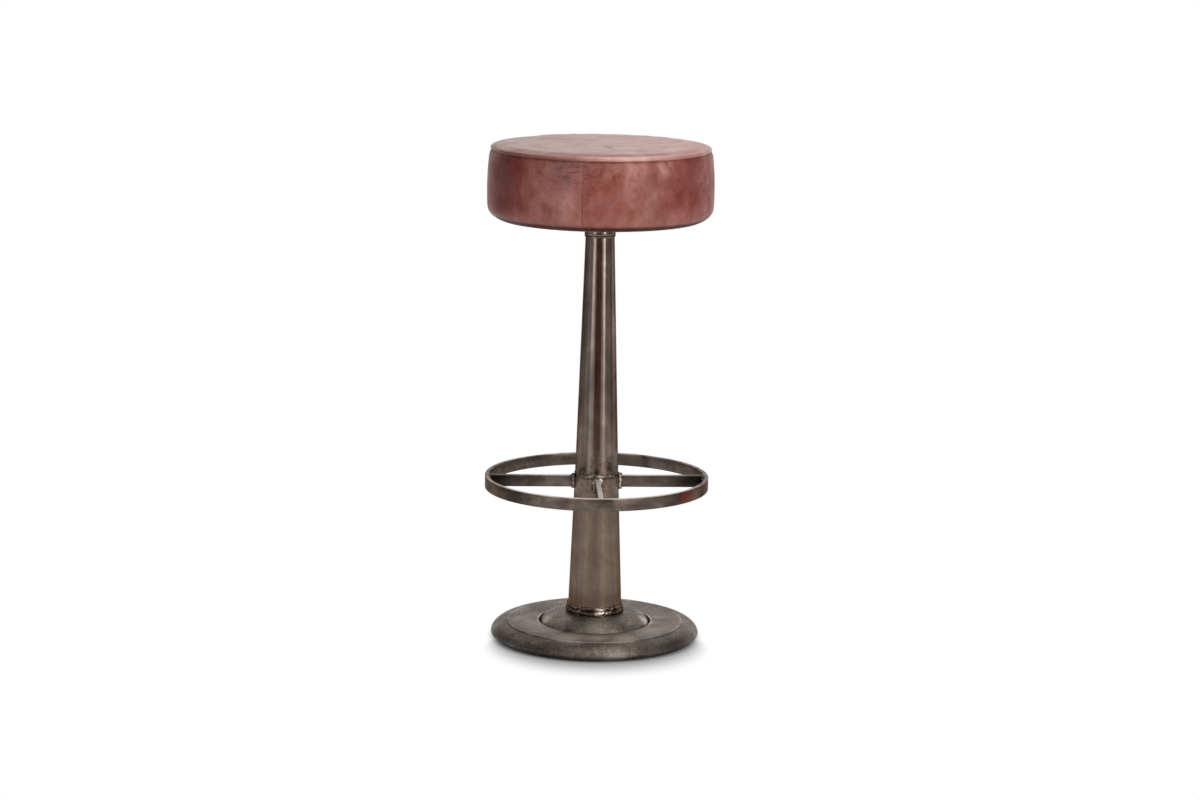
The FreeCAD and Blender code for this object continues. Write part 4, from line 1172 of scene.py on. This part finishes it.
# Polyester wadding, woven dust cloth and pressed felt: matt, clouded, with loose fibres
def plainCloth(name, look):
    material, tree, shader, place = newMaterial(name)
    fibre = addNode(tree, "TexNoise", {"Scale": perSize(look["fibreMm"]), "Detail": 5, "Roughness": 0.7,
                                       "Distortion": look["twist"]}, {"Vector": place}).outputs[0]
    cloud = addNode(tree, "TexNoise", {"Scale": perSize(look["cloudMm"]), "Detail": 3},
                    {"Vector": place}).outputs[0]
    blend = addNode(tree, "Math", {"operation": "MULTIPLY_ADD", 1: 0.6}, {0: fibre, 2: cloud}).outputs[0]
    spread = addNode(tree, "MapRange", {1: 0.55, 2: 1.05}, {0: blend}).outputs[0]
    colour = addNode(tree, "ValToRGB", {"stops": look["stops"]}, {0: spread}).outputs[0]
    bump = addNode(tree, "Bump", {"Strength": look["bump"], "Distance": 0.0008},
                   {"Height": fibre}).outputs[0]
    tree.links.new(colour, shader.inputs["Base Color"])
    tree.links.new(bump, shader.inputs["Normal"])
    shader.inputs["Roughness"].default_value = look["rough"]
    shader.inputs["Sheen Weight"].default_value = look["sheen"]
    return material


# Wadding is off-white and fluffy, dust cloth near black and matt, felt dark brown and hairy;
# real fibres are too fine to show, so they are drawn coarser
clothSet = {
    "wadding": {"fibreMm": 4, "twist": 1.5, "cloudMm": 40, "stops": [(0.0, "#cfc8b8"), (1.0, "#f0ebe0")],
                "bump": 0.5, "rough": 0.95, "sheen": 0.3},
    "dustCloth": {"fibreMm": 3, "twist": 0.8, "cloudMm": 30, "stops": [(0.0, "#1b1918"), (1.0, "#34302d")],
                  "bump": 0.35, "rough": 0.9, "sheen": 0.15},
    "felt": {"fibreMm": 2.5, "twist": 2.0, "cloudMm": 25, "stops": [(0.0, "#2a2522"), (1.0, "#4a423c")],
             "bump": 0.6, "rough": 0.97, "sheen": 0.3},
}
settle(drum, "seat", "wadding", plainCloth("waddingFleece", clothSet["wadding"]), "foam_pad",
       "wadding_wrap")

coverSet = {"hole": 74, "edge": 137, "height": 650, "thickness": 0.8, "sag": 0.35}
coverWidth = coverSet["edge"] - coverSet["hole"]
coverMiddle = coverSet["height"] - coverSet["thickness"] / 2
coverRings = [(coverSet["hole"] + coverWidth * i / 9, coverMiddle) for i in range(10)]
cover = turnPiece("dustCover", coverRings, 144)
roughen(cover, 26, coverSet["sag"])
applyModifier(cover, "SOLIDIFY", {"thickness": coverSet["thickness"] * mm, "offset": 0})
smooth(cover, 60)
settle(cover, "seat", "dust_cloth", plainCloth("dustCloth", clothSet["dustCloth"]), "dust_cover")

feltSet = {"radius": 148.5, "thickness": 3, "edge": 0.7}
felt = turnPiece("feltDisc", [(feltSet["radius"], 0), (feltSet["radius"], feltSet["thickness"])], 144)
capRings(felt, [(feltSet["radius"], 0), (feltSet["radius"], feltSet["thickness"])])
bevelRings(felt,
           [(feltSet["radius"], 0, feltSet["edge"], 3),
            (feltSet["radius"], feltSet["thickness"], feltSet["edge"], 2)])
smooth(felt, 50)
settle(felt, "stand", "felt", plainCloth("pressedFelt", clothSet["felt"]), "felt_disc")
print("stool: cloth pieces made")


# Turned and plated hardware under the seat, bronze bushes and the plywood board keep their CAD shape
def hardware(name, look):
    material, tree, shader, place = newMaterial(name)
    grain = addNode(tree, "VectorMath", {"operation": "MULTIPLY", 1: look["grain"]}, {0: place}).outputs[0]
    lines = addNode(tree, "TexNoise", {"Scale": perSize(look["lineMm"]), "Detail": 4, "Roughness": 0.6},
                    {"Vector": grain}).outputs[0]
    stains = addNode(tree, "TexNoise", {"Scale": perSize(look["stainMm"]), "Detail": 5, "Roughness": 0.6},
                     {"Vector": place}).outputs[0]
    blend = addNode(tree, "Math", {"operation": "MULTIPLY_ADD", 1: 0.6}, {0: lines, 2: stains}).outputs[0]
    spread = addNode(tree, "MapRange", {1: 0.55, 2: 1.05}, {0: blend}).outputs[0]
    colour = addNode(tree, "ValToRGB", {"stops": look["stops"]}, {0: spread}).outputs[0]
    gloss = addNode(tree, "MapRange", {3: look["rough"][0], 4: look["rough"][1]}, {0: spread}).outputs[0]
    bump = addNode(tree, "Bump", {"Strength": look["bump"], "Distance": 0.0003},
                   {"Height": lines}).outputs[0]
    tree.links.new(colour, shader.inputs["Base Color"])
    tree.links.new(gloss, shader.inputs["Roughness"])
    tree.links.new(bump, shader.inputs["Normal"])
    shader.inputs["Metallic"].default_value = look["metal"]
    return material


# Blackened plate is satin brown-black, turned steel bright with fine lines, bronze warm and a little stained,
# plywood pale with long grain; the turning lines are drawn coarser than real, so that they show
hardwareSet = {
    "blackPlate": {"grain": (1, 1, 1), "lineMm": 3, "stainMm": 25,
                   "stops": [(0.0, "#2e2824"), (1.0, "#5a5049")], "rough": (0.4, 0.55), "bump": 0.2,
                   "metal": 0.85},
    "brightSteel": {"grain": (1, 1, 6), "lineMm": 6, "stainMm": 12,
                    "stops": [(0.0, "#85807b"), (1.0, "#b9b4ae")], "rough": (0.25, 0.4), "bump": 0.15,
                    "metal": 1.0},
    "bronze": {"grain": (1, 1, 6), "lineMm": 6, "stainMm": 15,
               "stops": [(0.0, "#8a6234"), (1.0, "#b98d52")], "rough": (0.3, 0.45), "bump": 0.15,
               "metal": 1.0},
    "plywood": {"grain": (0.08, 1, 6), "lineMm": 5, "stainMm": 60,
                "stops": [(0.0, "#a97f52"), (1.0, "#d3ad7c")], "rough": (0.6, 0.75), "bump": 0.3,
                "metal": 0.0},
}
hardwareNodes = {
    "blackPlate": ("seat_plate", "plate_weld"),
    "brightSteel": ("spindle", "retaining_washer", "retaining_ring", "thrust_washer", "seat_bolts",
                    "bolt_washers", "tee_nuts", "cover_staples"),
    "bronze": ("upper_bush", "lower_bush"),
    "plywood": ("seat_board",),
}
for finish, names in hardwareNodes.items():
    material = hardware(finish, hardwareSet[finish])
    for name in names:
        cadNodes[name].data.materials.clear()
        cadNodes[name].data.materials.append(material)
print("stool: hardware finished")
